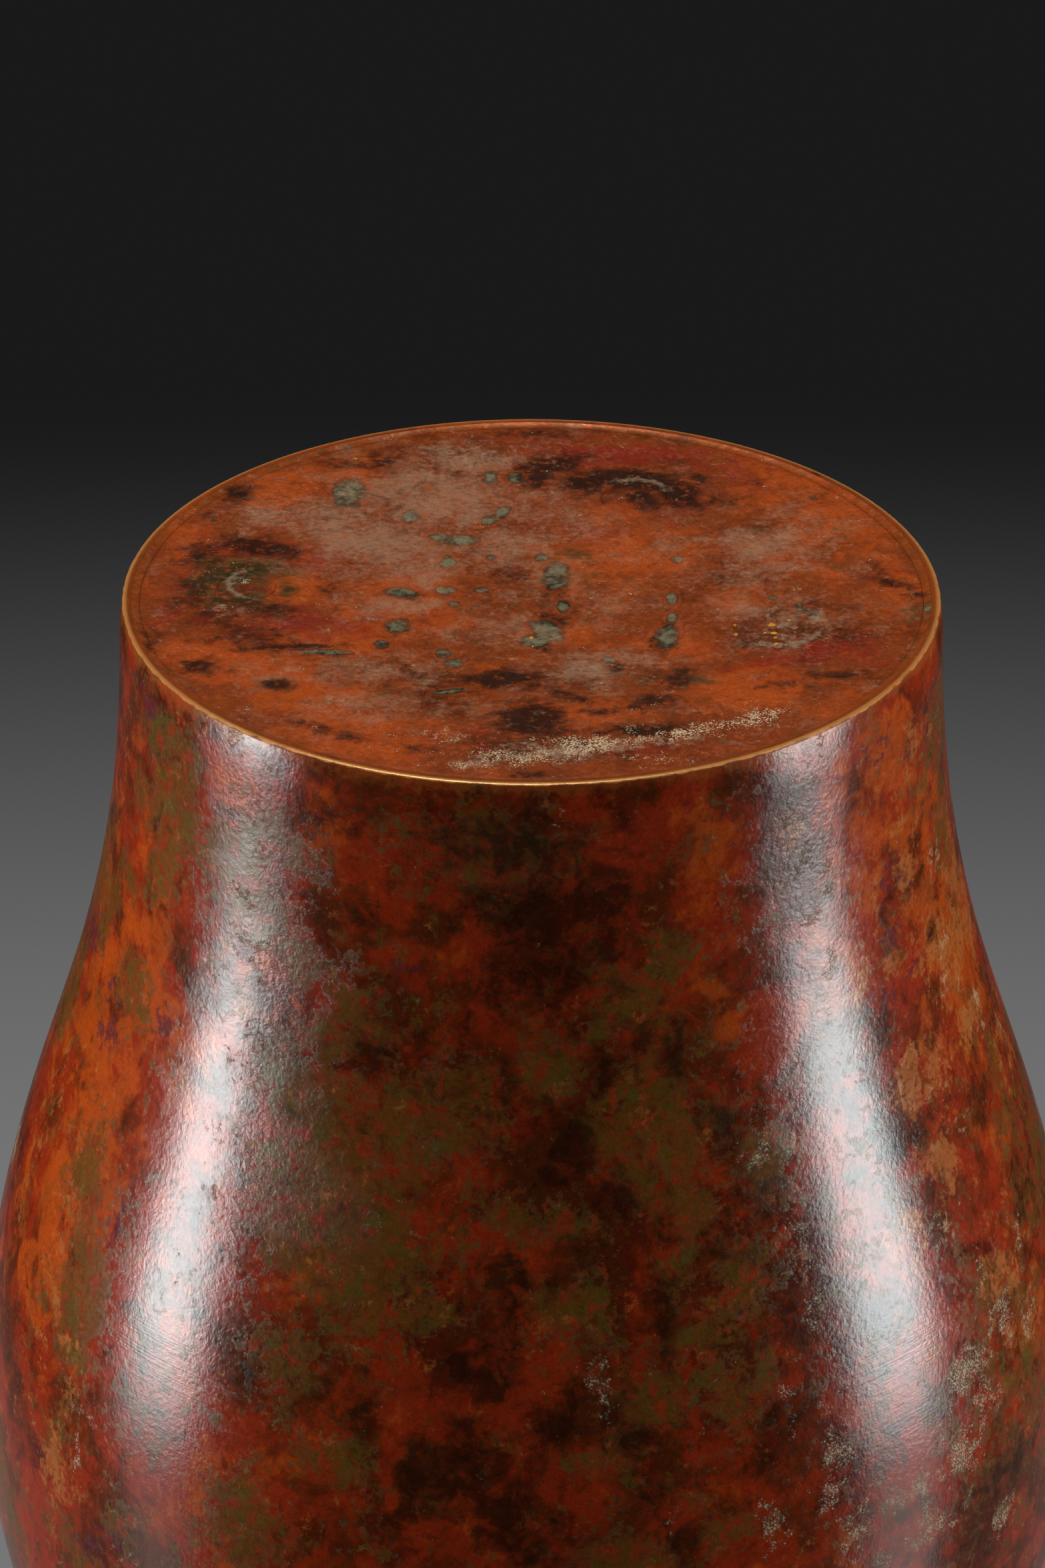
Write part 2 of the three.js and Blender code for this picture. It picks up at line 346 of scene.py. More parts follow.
WALL_SEEN: dict[Tone, tuple[Patch, ...]] = {
    # The broad warm patches on the sides are partly painted light. The front middle, with fewer of them, is
    # partly painted shade.
    Tone.WARM: ovals(
        (-66, 62, 22, 50, 0.95), (-72, 110, 14, 16, 0.5), (-60, 25, 12, 20, 0.6), (-47, 8, 8, 8, 0.8),
        (-27, 12, 7, 9, 0.5), (-12, 27, 5, 7, 0.8), (-15, 20, 4, 5, 0.7), (-29, 74, 5, 7, 0.6),
        (-12, 57, 6, 6, 0.7), (-25, 97, 8, 7, 0.6), (-14, 85, 4, 5, 0.6), (-35, 108, 10, 12, 0.7),
        (0, 38, 3, 5, 0.6), (0, 66, 5, 3, 0.45), (24, 18, 7, 13, 0.8), (27, 36, 4, 9, 0.7),
        (2, 80, 5, 6, 0.55), (7, 101, 4, 5, 0.6), (17, 100, 7, 6, 0.5), (30, 40, 5, 9, 0.6),
        (56, 20, 16, 24, 0.9), (74, 40, 18, 30, 0.9), (66, 70, 15, 14, 0.6), (60, 96, 16, 16, 0.5),
    ),
    Tone.OLIVE: ovals(
        (64, 104, 14, 14, 0.42), (76, 84, 9, 16, 0.45, 10), (58, 118, 10, 8, 0.4), (-57, 18, 6, 7, 1.0, 20),
        (-62, 8, 4, 4, 0.8), (-53, 9, 2.5, 5, 0.7), (-60, 29, 5, 3, 0.6), (-50, 21, 4, 2.5, 0.8),
        (-64, 47, 4, 4, 0.75), (-59, 49, 2.4, 1.6, 0.8), (-63, 73, 4, 6, 0.8, 15), (-57, 89, 6, 9, 0.85),
        (-77, 41, 5, 5, 0.8), (-43, 19, 8, 5, 0.8), (-36, 26, 5, 5, 0.7), (-31, 16, 5, 3, 0.6),
        (-24, 57, 9, 10, 0.95), (-31, 48, 5, 8, 0.8), (-20, 68, 8, 8, 0.9), (-28, 67, 6, 6, 0.8),
        (-14, 50, 7, 5, 0.75), (-8, 45, 5, 4, 0.7), (-23, 35, 5, 4, 0.7), (-28, 41, 4, 4, 0.8),
        (-32, 30, 4, 4, 0.7), (-12, 74, 6, 3, 0.7), (-29, 84, 5, 4, 0.65), (-20, 96, 5, 4, 0.6),
        (-31, 110, 6, 5, 0.8), (-3, 9, 7, 6, 0.65), (-9, 7, 5, 4, 0.6), (18, 26, 2.6, 3, 0.85),
        (12, 32, 5, 4, 0.8), (17, 36, 4, 3, 0.7), (14, 44, 6, 4, 0.85), (11, 50, 5, 5, 0.75),
        (18, 52, 4, 7, 0.95, -20), (19, 61, 5, 4, 0.95), (13, 56, 3, 5, 0.8), (23, 50, 4, 3, 0.7),
        (29, 57, 4, 5, 0.9), (3, 41, 4, 4, 0.8), (6, 62, 5, 2.4, 0.7), (-2, 60, 4, 2, 0.5),
        (5, 73, 5, 4, 0.75), (16, 71, 3, 4, 0.6), (25, 72, 4, 5, 0.75), (20, 78, 5, 4, 0.6),
        (14, 86, 6, 4, 0.7), (22, 88, 6, 4, 0.7), (7, 93, 4, 3, 0.6), (9, 108, 5, 3, 0.7),
        (20, 106, 4, 3, 0.6), (80, 14, 8, 5, 0.9), (77, 29, 4, 9, 0.5), (76, 67, 3, 4, 0.8),
        (74, 58, 4, 4, 0.5), (84, 82, 6, 6, 0.8), (58, 90, 7, 5, 0.65), (68, 96, 5, 5, 0.5),
        (-71, 33, 4, 2, 0.6), (-68, 19, 3, 3, 0.5), (-46, 118, 4, 4, 0.5), (-58, 112, 3, 5, 0.5),
    ),
    Tone.DARK: ovals(
        (2, 18, 9, 5, 1.0), (0, 9, 5, 5, 0.8), (-7, 9, 6, 4, 0.7), (0, 29, 8, 3.5, 0.8), (9, 23, 4, 4, 0.6),
        (-11, 21, 2.4, 3, 0.7), (-9, 34, 2, 2, 0.85), (-20, 41, 2.6, 3, 0.95), (-16, 38, 2, 2, 0.6),
        (-30, 8, 6, 3, 0.6), (-3, 43, 3, 2, 0.7), (9, 43, 2, 2, 0.8), (14, 38, 4, 3, 0.7),
        (18, 40, 2.6, 3.6, 0.85), (5, 51, 3, 4.4, 1.0), (2, 55, 2.4, 3, 0.85), (10, 59, 4, 2.4, 0.95),
        (16, 65, 3, 2, 0.6), (24, 53, 3, 5, 0.6), (28, 62, 3, 3, 0.6), (-3, 69, 2.8, 3.4, 1.0),
        (3, 70, 1.6, 1.4, 0.9), (7, 66, 3, 2, 0.7), (-2, 76, 1.4, 4, 0.9), (-7, 81, 4, 2.6, 0.95),
        (-4, 82, 3, 3, 0.9), (15, 75, 1.5, 5, 0.85), (21, 67, 4, 2.4, 0.7), (-18, 83, 1.6, 2, 0.7),
        (-17, 90, 2.6, 3, 0.8), (-6, 89, 3, 2.4, 0.85), (3, 88, 3, 4, 0.9), (8, 86, 2.6, 3, 0.7),
        (12, 91, 5, 1.6, 0.7), (-8, 96, 6, 4, 0.9), (-3, 101, 5, 3, 1.0), (-12, 100, 3, 3, 0.7),
        (0, 106, 4, 2.4, 0.9), (16, 106, 3, 2.6, 0.8), (13, 99, 3, 2, 0.6), (27, 92, 3, 4, 0.65),
        (30, 80, 3, 6, 0.55), (25, 98, 3, 2, 0.6), (-24, 88, 3, 3, 0.5), (-31, 88, 3, 3, 0.6),
        (57, 38.5, 3, 3, 0.6), (52, 63, 5, 1.8, 0.9), (50, 48, 3, 6, 0.5), (58, 117, 6, 4, 0.85),
        (52, 122, 4, 3, 0.7), (70, 66, 6, 6, 0.5), (71, 34, 1.8, 4, 0.7), (66, 40, 2, 1.4, 0.8),
        (65, 31, 1.6, 1.4, 0.7), (55, 31, 3, 4, 0.5), (-62, 22, 1.2, 1.4, 0.95), (-70, 41, 1.6, 1.8, 0.8),
        (-69, 49, 2.2, 1.6, 0.7), (-24, 22, 3, 3, 0.5), (71, 8.6, 3.4, 0.7, 1.0, 6),
        (77, 7.4, 6, 0.4, 0.9, 8), (84, 62, 6, 6, 0.5), (72, 84, 6, 7, 0.5),
    ),
    Tone.PLUM: ovals(
        (-65, 5, 4, 2, 0.9), (-71, 4, 3, 2, 0.6), (-81, 48, 6, 3, 0.8), (-68, 50, 2.6, 1.6, 0.9),
        (-68, 57, 3, 1.2, 0.95, 20), (-65, 55, 3, 1.1, 0.95, 20), (-54, 48, 2.2, 2.8, 0.95),
        (-54, 76, 1.8, 4, 0.75), (-50, 50, 2, 3, 0.5), (57, 27, 4, 3, 0.75), (61, 29, 2.4, 2.4, 0.7),
        (55.5, 36, 2.2, 1.3, 1.0), (62, 12, 1.6, 1.6, 0.9), (55, 7, 4, 3, 0.6), (19, 21, 1, 1, 0.85),
        (-17, 28, 2.4, 2.6, 0.6), (-49, 122, 5, 3, 0.7), (-52, 125, 3, 2, 0.7), (52, 43, 4, 2, 0.6),
        (61, 42, 3, 2, 0.5), (38, 7, 9, 5, 0.3),
    ),
    Tone.AMBER: ovals(
        (57, 39, 6, 1.8, 0.95), (60, 26, 6, 7, 0.6), (66, 41, 7, 4, 0.7), (54, 57, 3.6, 4.4, 1.0),
        (60, 58, 4, 5, 0.8), (56, 69, 4, 5, 0.75), (72, 46, 9, 5, 0.8), (80, 42, 9, 10, 0.7),
        (72, 56, 5, 4, 0.7), (84, 65, 8, 5, 0.6), (48, 75, 4, 5, 0.5), (62, 90, 7, 7, 0.6),
        (66, 98, 6, 4, 0.6), (48, 38, 4, 4, 0.5), (66, 12, 9, 4, 0.5), (-78, 75, 5, 12, 0.4),
        (-64, 90, 4, 12, 0.5), (-58, 115, 4, 9, 0.7), (-57, 100, 5, 5, 0.5), (13, 43, 3, 3, 0.4),
    ),
    Tone.CREAM: ovals(
        (70, 43, 3, 2, 0.8), (67, 49, 2, 4, 0.8, 20), (72, 50, 2, 3, 0.6, 30), (77, 56, 3, 3, 0.8, 40),
        (70, 31, 4, 3, 0.7, 40), (75, 60, 4, 3, 0.6), (84, 65, 5, 3, 0.5), (56, 53, 2, 1.6, 0.6),
        (58, 60, 3, 2, 0.6), (54, 76, 3, 4, 0.6), (62, 66, 3, 3, 0.5), (33, 55, 3, 5, 0.5),
        (-64, 114, 3, 3, 0.6), (-66, 106, 3, 2, 0.5), (-45, 122, 5, 3, 0.4), (29, 72, 3, 6, 0.35),
        (56, 124, 4, 3, 0.5),
    ),
    Tone.BLOOM: ovals(
        (7, 83, 2, 2.6, 0.95), (8, 89, 1.6, 2, 0.6), (1, 85, 1.2, 1, 0.6), (52, 98, 7, 3.4, 0.95),
        (60, 95, 4, 3.6, 0.8), (47, 93, 3, 4, 0.6), (33, 99, 2.4, 6, 0.85), (32, 104, 2, 4, 0.9),
        (25, 107, 1.6, 4, 1.0), (35, 112, 3, 5, 0.9, 30), (42, 110, 5, 2.6, 0.9), (50, 109, 4, 4, 1.0),
        (44, 117, 6, 2.6, 0.9), (38, 120, 3, 3, 0.8), (57, 124, 3, 3, 1.0), (55, 104, 4, 4, 0.75),
        (48, 101, 2, 6, 0.8), (33, 78, 2, 5, 0.6), (33, 66, 2, 6, 0.5), (29, 56, 3, 3, 0.75),
        (51, 76, 2.4, 4, 0.6), (58, 87, 3, 3, 0.6), (66, 99, 3, 3, 0.7), (68, 88, 3, 4, 0.5),
        (46, 50, 1.4, 3, 0.6), (-54, 112, 0.8, 4, 0.9), (-53.5, 118, 0.7, 2, 0.9),
        (-53, 105, 2.4, 0.7, 0.7), (4, 5, 2, 1.2, 0.6), (14, 104, 1.4, 2, 0.5), (28, 90, 1.4, 5, 0.45),
    ),
    Tone.ROUGH: ovals(
        (-40, 20, 12, 10, 0.7), (-35, 34, 9, 8, 1.0), (-48, 40, 5, 6, 0.8), (-34, 45, 8, 8, 1.0),
        (-31, 58, 9, 10, 1.0), (-24, 64, 9, 8, 0.9), (-38, 70, 8, 10, 0.6), (-51, 62, 3, 12, 0.5),
        (-43, 8, 10, 12, 0.85), (-16, 52, 9, 6, 0.5), (40, 14, 10, 18, 0.85), (35, 46, 4, 4, 0.6),
        (32, 56, 4, 5, 0.6), (47, 51, 3, 3, 0.5), (-3, 12, 8, 6, 0.35), (-58, 16, 7, 7, 0.4),
        (50, 100, 12, 8, 0.35),
    ),
}

WALL_SCATTER = (
    Scatter(Tone.WARM, 60, 7.0, 22.0, 0.4, 0.95),
    Scatter(Tone.OLIVE, 110, 2.5, 9.0, 0.55, 1.0),
    Scatter(Tone.DARK, 110, 1.6, 7.0, 0.6, 1.0),
    Scatter(Tone.PLUM, 34, 1.4, 4.0, 0.6, 0.95),
    Scatter(Tone.AMBER, 40, 2.5, 9.0, 0.5, 0.95),
    Scatter(Tone.CREAM, 18, 2.0, 5.0, 0.4, 0.8),
    Scatter(Tone.BLOOM, 34, 1.2, 5.0, 0.6, 1.0),
    Scatter(Tone.ROUGH, 22, 4.0, 13.0, 0.4, 1.0),
)

BASE_SEEN: dict[Tone, tuple[Patch, ...]] = {
    Tone.WARM: ovals(
        (-20, -9, 6, 5, 0.9), (-42, -20, 9, 6, 1.2), (-26, -14, 8, 4, 1.0), (-33, 3, 2.6, 3, 1.0),
        (-30, -30, 7, 6, 1.1), (-48, 20, 5, 12, 0.7), (44, 20, 8, 14, 0.9), (38, 34, 8, 10, 0.7),
        (30, -28, 10, 6, 0.7), (40, -32, 8, 8, 0.7), (-22, -44, 12, 6, 0.7), (10, 14, 8, 6, 0.7),
        (13, 4, 6, 8, 0.6), (8, -34, 9, 3, 0.9), (22, -16, 4, 3, 0.8), (-6, -21, 5, 2, 0.8),
        (-24, 40, 4, 7, 0.8), (-40, 36, 7, 7, 0.7), (-10, -5, 8, 8, 0.5), (48, 2, 6, 6, 0.6),
        (20, 22, 6, 4, 0.6), (13, 28, 3, 3, 0.9), (26, 0, 5, 5, 0.6),
    ),
    # A painted reflection: a pinkish-grey veil of sheen over much of the base.
    Tone.PAINTED_SHEEN: ovals(
        (2, 8, 9, 9, 0.42), (-4, -8, 9, 6, 0.42), (12, 0, 5, 8, 0.35), (-14, 32, 12, 10, 0.9),
        (-22, 18, 10, 7, 0.95), (-28, 24, 6, 8, 0.8), (-37, 26, 4, 5, 0.7), (-9, 43, 8, 5, 0.7),
        (-15, 10, 6, 6, 0.6), (-20, -1, 6, 4, 0.8), (-6, 18, 7, 5, 0.75), (8, 22, 5, 6, 0.4),
        (33, 15, 7, 7, 0.75), (30, 8, 5, 6, 0.5), (38, 22, 5, 5, 0.5), (22, 17, 6, 5, 0.4),
        (-20, -22, 8, 5, 0.5), (-24, -34, 9, 6, 0.45), (8, -20, 6, 6, 0.7), (16, -18, 4, 3, 0.5),
        (-6, -34, 6, 4, 0.4), (35, -4, 8, 5, 0.45), (-35, -24, 5, 4, 0.4), (4, 32, 5, 4, 0.4),
    ),
    Tone.CRIMSON: ovals(
        (12, 45, 13, 4, 0.9), (4, 51, 8, 3, 0.6), (26, 40, 7, 5, 0.6), (8, 22, 6, 3, 0.6),
        (4, 34, 4, 5, 0.5), (20, 28, 5, 5, 0.5), (-42, 15, 8, 3, 0.9), (-33, 12, 5, 5, 0.6),
        (-31, -8, 8, 4, 1.0), (-22, -6, 4, 3, 0.6), (-38, -10, 6, 3, 0.7), (-48, 6, 3, 9, 0.5),
        (41, -17, 8, 4, 0.8), (33, -20, 6, 4, 0.6), (24, -22, 5, 3, 0.4), (-46, -6, 5, 4, 0.5),
        (-8, -42, 8, 3, 0.4), (20, -45, 10, 3, 0.5),
    ),
    Tone.DARK: ovals(
        (-38, 15, 5.4, 2.2, 1.1, -20), (-46, 13, 3, 4, 0.7), (-36.5, 15.5, 2.4, 0.8, 1.0, -30),
        (-47, 0, 2.4, 5, 0.6), (-36, -4, 4, 2, 0.8), (-44, -6, 4, 2, 0.6), (-33, -15.5, 6, 0.9, 1.0, 8),
        (-38, -13, 6, 3, 0.6), (-28, -17, 3.4, 1, 0.8), (-45, -22, 2.6, 2.2, 0.95),
        (-34, -27, 1.6, 1.6, 1.0), (-28, 3, 1.6, 1.4, 0.7), (-42, 32, 2, 3.6, 0.8, -20),
        (-28, 42, 2, 1.8, 0.7), (-22, 43, 3, 3, 0.7), (-46, 25, 1, 1.2, 0.7), (14, 37, 6.5, 2.8, 1.3, -14),
        (8, 36, 3, 3, 1.1), (21, 33, 2.6, 5, 1.1, 20), (16, 31, 2.6, 3, 0.8), (24, 37, 2, 3, 0.6),
        (26, 30, 4, 2, 0.5), (0, 38, 2.8, 3, 1.1), (3, 42, 3.4, 2.6, 1.1), (6, 44, 4, 2, 0.6),
        (0, 52, 6, 1.6, 0.6), (-17.5, 2.2, 2, 1.2, 0.8), (-18.5, -8, 1.6, 1.8, 0.9),
        (-20.5, -13.6, 1, 1.2, 0.9), (3.4, 4.6, 1.6, 2, 0.95), (4.6, -0.4, 0.9, 1.6, 0.95),
        (3.0, -5, 1.6, 2.6, 1.0, 20), (1.4, -13.6, 1.6, 1.4, 0.9), (18.6, -8.6, 1.2, 3, 0.8),
        (18, -13, 1.8, 2.4, 0.95), (-4, -23.6, 4, 2.4, 1.25, 20), (-8, -24, 2, 1.6, 0.6),
        (0, -26, 2, 1.6, 0.8), (-12, -28.4, 3.4, 1.1, 0.95, 16), (0, -36.4, 4, 4, 1.4, -10),
        (3, -41, 1.6, 1, 0.8), (10, -40.6, 2, 0.8, 0.8), (15, -40, 4.4, 1.4, 1.3),
        (20, -24, 1.8, 3.4, 0.8, -30), (16, -31, 3, 2, 0.8, 40), (10, -34, 3.4, 1.3, 0.7),
        (5, -29, 3.4, 1.6, 0.7, -30), (11.5, -20.4, 1.4, 1.6, 0.7), (50, 4, 3.6, 1.6, 0.8, -40),
        (53, 0, 2.6, 0.8, 0.7), (48, 8, 1.2, 2, 0.5), (44, -4, 2, 1.4, 0.5), (42, -24, 5, 1.2, 0.7),
        (35, -27, 4, 1.2, 0.5), (-26, -41, 6, 1.6, 0.6, -30), (-14, -46, 5, 1.2, 0.5, -20),
        (0, -53, 3, 0.8, 0.8), (32, 36, 3, 2, 0.3), (-52, -14, 1.4, 4, 0.6),
    ),
    Tone.OLIVE: ovals(
        (4, 6, 9, 9, 0.45), (-6, -8, 9, 6, 0.35), (-41, 7, 6, 3.6, 1.7, 20), (-45, 10, 3, 2.4, 1.3),
        (-36, 9, 2.6, 2.6, 1.2), (-41, -2, 5, 2, 1.3), (-46, 3, 2.2, 4, 1.4), (-34, 3, 1.6, 3, 1.1),
        (-34, -27, 2.4, 2.4, 0.6), (-42, 32, 3, 4.4, 0.6, -20), (54, -4, 4, 3, 0.8), (50, -6, 4, 3, 0.5),
        (44, 8, 5, 4, 0.4), (-6, -24, 4, 2, 0.6), (21, -25, 4, 2.4, 1.0, -30), (12, -26, 8, 8, 0.45),
        (35, -9.5, 5, 5, 0.35), (6, 15, 3, 2, 0.8), (27, 22, 7, 3, 0.35, -30), (-34, 44, 7, 2, 0.4, 30),
        (-24, 45, 4, 3, 0.6), (-22, -28, 9, 5, 0.35), (-52, -26, 2, 8, 0.5, 30), (40, -12, 3, 6, 0.3),
    ),
    Tone.GREY_GREEN: ovals(
        (-26, 33, 1.9, 3.6, 1.0), (-26.4, 29.6, 1.4, 1.4, 0.9), (-17, 25.6, 1.1, 1.6, 0.9),
        (-6, 38, 0.9, 1.9, 0.9), (-4, 27.6, 0.9, 1.4, 0.95, -30), (-6, 25, 0.9, 1.3, 0.95),
        (-10, 19, 2.4, 1.4, 0.9), (-13, 20, 1.6, 1, 0.7), (-11.6, 12.4, 0.9, 1.6, 0.9),
        (-5.6, 14, 0.7, 0.9, 0.8), (-12, 4, 1.2, 1.3, 0.9), (-10.6, -0.4, 0.9, 0.9, 0.7),
        (-7, 4, 0.9, 0.8, 0.9), (-18, 2.8, 1.9, 1.4, 0.95, -30), (-18.4, -7.6, 1.7, 1.8, 0.85),
        (-20.4, -13.6, 0.9, 1.2, 0.8), (1.4, 14, 0.9, 1.2, 0.9), (3.4, 8.4, 1.6, 3.4, 1.0),
        (4.4, -1, 0.8, 1.5, 0.8), (2.2, -8.6, 1.7, 3, 1.0, 20), (0.6, -11.6, 1.8, 1.6, 1.0),
        (20.4, 12.6, 0.9, 1.1, 0.8), (19.4, 1, 0.7, 1.7, 1.0), (19.4, -5, 0.7, 1.3, 0.9),
        (18.6, -11, 1.3, 3, 0.9), (-12, -16, 0.9, 1.3, 0.85), (-10.6, -19, 1.1, 1.6, 0.7),
        (-28, -16.6, 3, 0.8, 0.9), (-11, -28, 2.4, 0.7, 0.7, 16), (33.4, 0, 0.7, 0.7, 0.8),
        (39, -5.6, 1.2, 2, 0.6), (37, -3.4, 0.9, 1.4, 0.6), (-2.4, 38, 1.3, 1.6, 0.7),
        (54.6, -4.4, 0.6, 0.7, 1.0), (8, 12, 0.7, 2, 0.4), (10.6, -18, 1.2, 1.2, 0.6),
        (-45, 24, 0.7, 1, 0.6), (40, 31, 0.7, 1, 0.6),
    ),
    # Along the front edge: pale specks that are painted glints in a painted reflection band. The two patches
    # by the plug on the left are specks.
    Tone.BLOOM: ovals(
        (0, -47, 9, 2.6, 0.9, 6), (8, -44.6, 8, 2.4, 1.0, 12), (-7, -50, 5, 1.5, 0.8),
        (14, -43, 5, 1.6, 0.85, 12), (21, -41, 6, 1.9, 0.8, 24), (27, -38.6, 4, 2, 0.8, 30),
        (31, -36, 3, 2.2, 0.75, 40), (14, -38.6, 2.4, 0.8, 0.7), (-14, -42, 5, 2, 0.5),
        (18, -48, 5, 2, 0.5), (14, -33.6, 3, 0.6, 0.5, 30), (-40, 4, 1, 3, 0.4), (-42, -4, 3, 1, 0.4),
    ),
    # Along the front edge this pale band is a painted reflection. The other patches are cream crust.
    Tone.CREAM: ovals(
        (2, -47, 8, 1.9, 0.9, 8), (11, -44.6, 5, 1.5, 0.9, 14), (-6, -49.6, 5, 1.2, 0.7),
        (20, -43, 5, 1.3, 0.5, 20), (35, -13, 3, 3, 0.7), (34, -9, 4.4, 4.4, 0.5), (39, -7, 1.4, 3, 0.6),
        (-43, -3.4, 3, 0.8, 0.6, -10), (-40.5, 5, 1, 2.6, 0.5, -20), (45, -28, 2, 0.8, 0.5, 40),
        (-26, 33, 1.4, 2.6, 0.4), (8, -20, 6, 1.6, 0.35), (-7, 44, 6, 4, 0.3),
    ),
    Tone.GOLD: ovals(
        (33, -8.6, 0.55, 0.6, 1.0), (33.2, -11.2, 0.5, 0.4, 0.95), (33.4, -12.6, 0.4, 0.3, 0.9),
        (33.4, -14.4, 0.4, 0.35, 1.0), (35.4, -7.2, 0.35, 0.3, 0.9), (28, -8, 0.3, 0.35, 0.9),
        (28, -11, 0.3, 0.6, 0.9), (32, -11, 0.3, 0.3, 0.9), (34.6, -14.8, 0.35, 0.25, 0.9),
        (36, -11, 0.25, 0.25, 0.8), (0, -10.6, 0.3, 0.5, 1.0), (0.2, -13.4, 0.2, 0.4, 0.9),
        (-16, -20, 0.5, 0.25, 0.9, 40), (-25.4, 43.6, 0.6, 0.8, 0.7), (15, -24.6, 0.2, 0.4, 0.9),
    ),
    # Crescents round the plugs: a slight raised rim, washed pale as a painted highlight where the plugs'
    # edges catch the light.
    Tone.RIDGE_HIGHLIGHT: (
        *arc(-37.2, 3.7, 4.9, 105, 272, 0.5, 0.9),
        *arc(-42, -3.2, 3, 250, 290, 0.35, 0.8),
        *arc(14.6, 32, 5.1, 2, 140, 0.55, 0.85),
        *arc(34, -9.6, 5.4, 230, 350, 0.8, 0.9),
        *arc(-1.5, -47.5, 3.6, 40, 150, 0.45, 0.7),
    ),
    Tone.ROUGH: ovals(
        (-40, 4, 7, 6, 0.8), (2, -46, 12, 4, 0.9), (22, -40, 8, 4, 0.8), (34, -10, 6, 6, 0.4),
        (13, 33, 7, 6, 0.5), (10, 0, 8, 10, 0.4), (-42, -18, 9, 5, 0.5), (12, -26, 8, 7, 0.4),
    ),
}


# Meshes


@dataclass
class MeshDraft:
    """A closed surface gathered as whole arrays of points, faces and vertex values."""

    points: list[Array] = field(default_factory=list)
    quads: list[Array] = field(default_factory=list)
    triangles: list[Array] = field(default_factory=list)
    count: int = 0

    def add_points(self, points: Array) -> Array:
        """Adds points and returns their numbers."""
        numbers = np.arange(self.count, self.count + len(points))
        self.points.append(points)
        self.count += len(points)
        return numbers

    def join_rings(self, rings: list[Array]) -> None:
        """Joins closed rings of the same length, each to the next, by bands of faces."""
        for first, second in zip(rings[:-1], rings[1:]):
            self.quads.append(np.stack([first, np.roll(first, -1), np.roll(second, -1), second], axis=1))

    def close_ring(self, ring: Array, centre: Array, facing_out: bool) -> None:
        """Closes a ring by a fan of triangles about a point.

        Args:
            ring: Point numbers round the hole.
            centre: The point that the fan meets in, in millimetres.
            facing_out: Whether the ring runs anticlockwise seen from the outside.
        """
        hub = self.add_points(centre[None, :])
        ahead = np.roll(ring, -1)
        middle = np.full(len(ring), hub[0])
        corners = [ring, ahead, middle] if facing_out else [ahead, ring, middle]
        self.triangles.append(np.stack(corners, axis=1))

    def places(self) -> Array:
        """All points in millimetres, as one (n, 3) array."""
        return np.concatenate(self.points)

    def build(self, name: str, values: dict[str, Array], sharp_degrees: float = 32.0) -> bpy.types.Object:
        """Makes the Blender object, in metres.

        Args:
            name: Name of the piece.
            values: A number for each point, by attribute name.
            sharp_degrees: Edges that bend more than this stay sharp.

        Returns:
            The new object, linked to the scene.
        """
        points = self.places() * MM
        quads = np.concatenate(self.quads) if self.quads else np.zeros((0, 4), int)
        triangles = np.concatenate(self.triangles) if self.triangles else np.zeros((0, 3), int)
        corners = np.concatenate([quads.ravel(), triangles.ravel()]).astype(np.int32)
        sizes = np.concatenate([np.full(len(quads), 4), np.full(len(triangles), 3)])
        starts = np.concatenate([[0], np.cumsum(sizes)[:-1]]).astype(np.int32)
        mesh = bpy.data.meshes.new(name)
        mesh.vertices.add(len(points))
        mesh.loops.add(len(corners))
        mesh.polygons.add(len(sizes))
        mesh.vertices.foreach_set("co", points.astype(np.float32).ravel())
        mesh.loops.foreach_set("vertex_index", corners)
        mesh.polygons.foreach_set("loop_start", starts)
        mesh.polygons.foreach_set("use_smooth", np.ones(len(sizes), bool))
        for label, numbers in values.items():
            layer = mesh.attributes.new(label, "FLOAT", "POINT")
            layer.data.foreach_set("value", numbers.astype(np.float32))
        mesh.update(calc_edges=True)
        mesh.validate()
        mesh.set_sharp_from_angle(angle=math.radians(sharp_degrees))
        return link(name, mesh)


def link(name: str, data: bpy.types.ID) -> bpy.types.Object:
    """A new object in the scene that shows the data."""
    thing = bpy.data.objects.new(name, data)
    bpy.context.scene.collection.objects.link(thing)
    return thing


def full_turn(count: int) -> Array:
    """Even angles once round, in radians."""
    return np.arange(count) * math.tau / count


def circle(angles: Array) -> Array:
    """The (cos, sin) of angles, as an (n, 2) array."""
    return np.stack([np.cos(angles), np.sin(angles)], axis=1)


def revolve(line: Array, turns: Array) -> Array:
    """Points of a line turned about the axis: (radius cos turn, radius sin turn, height).

    Args:
        line: An (n, 2) array of (radius, height).
        turns: An (m,) array of angles in radians.

    Returns:
        An (n * m, 3) array, the first m of them on the line's first point.
    """
    height = np.repeat(line[:, 1], len(turns))[:, None]
    spread = line[:, None, :1] * circle(turns)
    return np.concatenate([spread.reshape(-1, 2), height], axis=1)


def wall_values(patches: PatchMap, points: Array) -> dict[str, Array]:
    """Strength of each tone on the wall, by the turn from the photograph's front towards its right."""
    turn = np.degrees(np.arctan2(-points[:, 0], -points[:, 1]))
    reach = np.hypot(points[:, 0], points[:, 1])
    return {tone.value: patches.strength(tone, turn, points[:, 2], reach) for tone in patches.patches}


def base_values(patches: PatchMap, points: Array) -> dict[str, Array]:
    """Strength of each tone on the base. Across is -x and back is y, as the photograph shows them."""
    values = {tone.value: patches.strength(tone, -points[:, 0], points[:, 1]) for tone in patches.patches}
    values["rim"] = np.clip((np.hypot(points[:, 0], points[:, 1]) - RIM_START) / RIM_WIDTH, 0.0, 1.0)
    return values


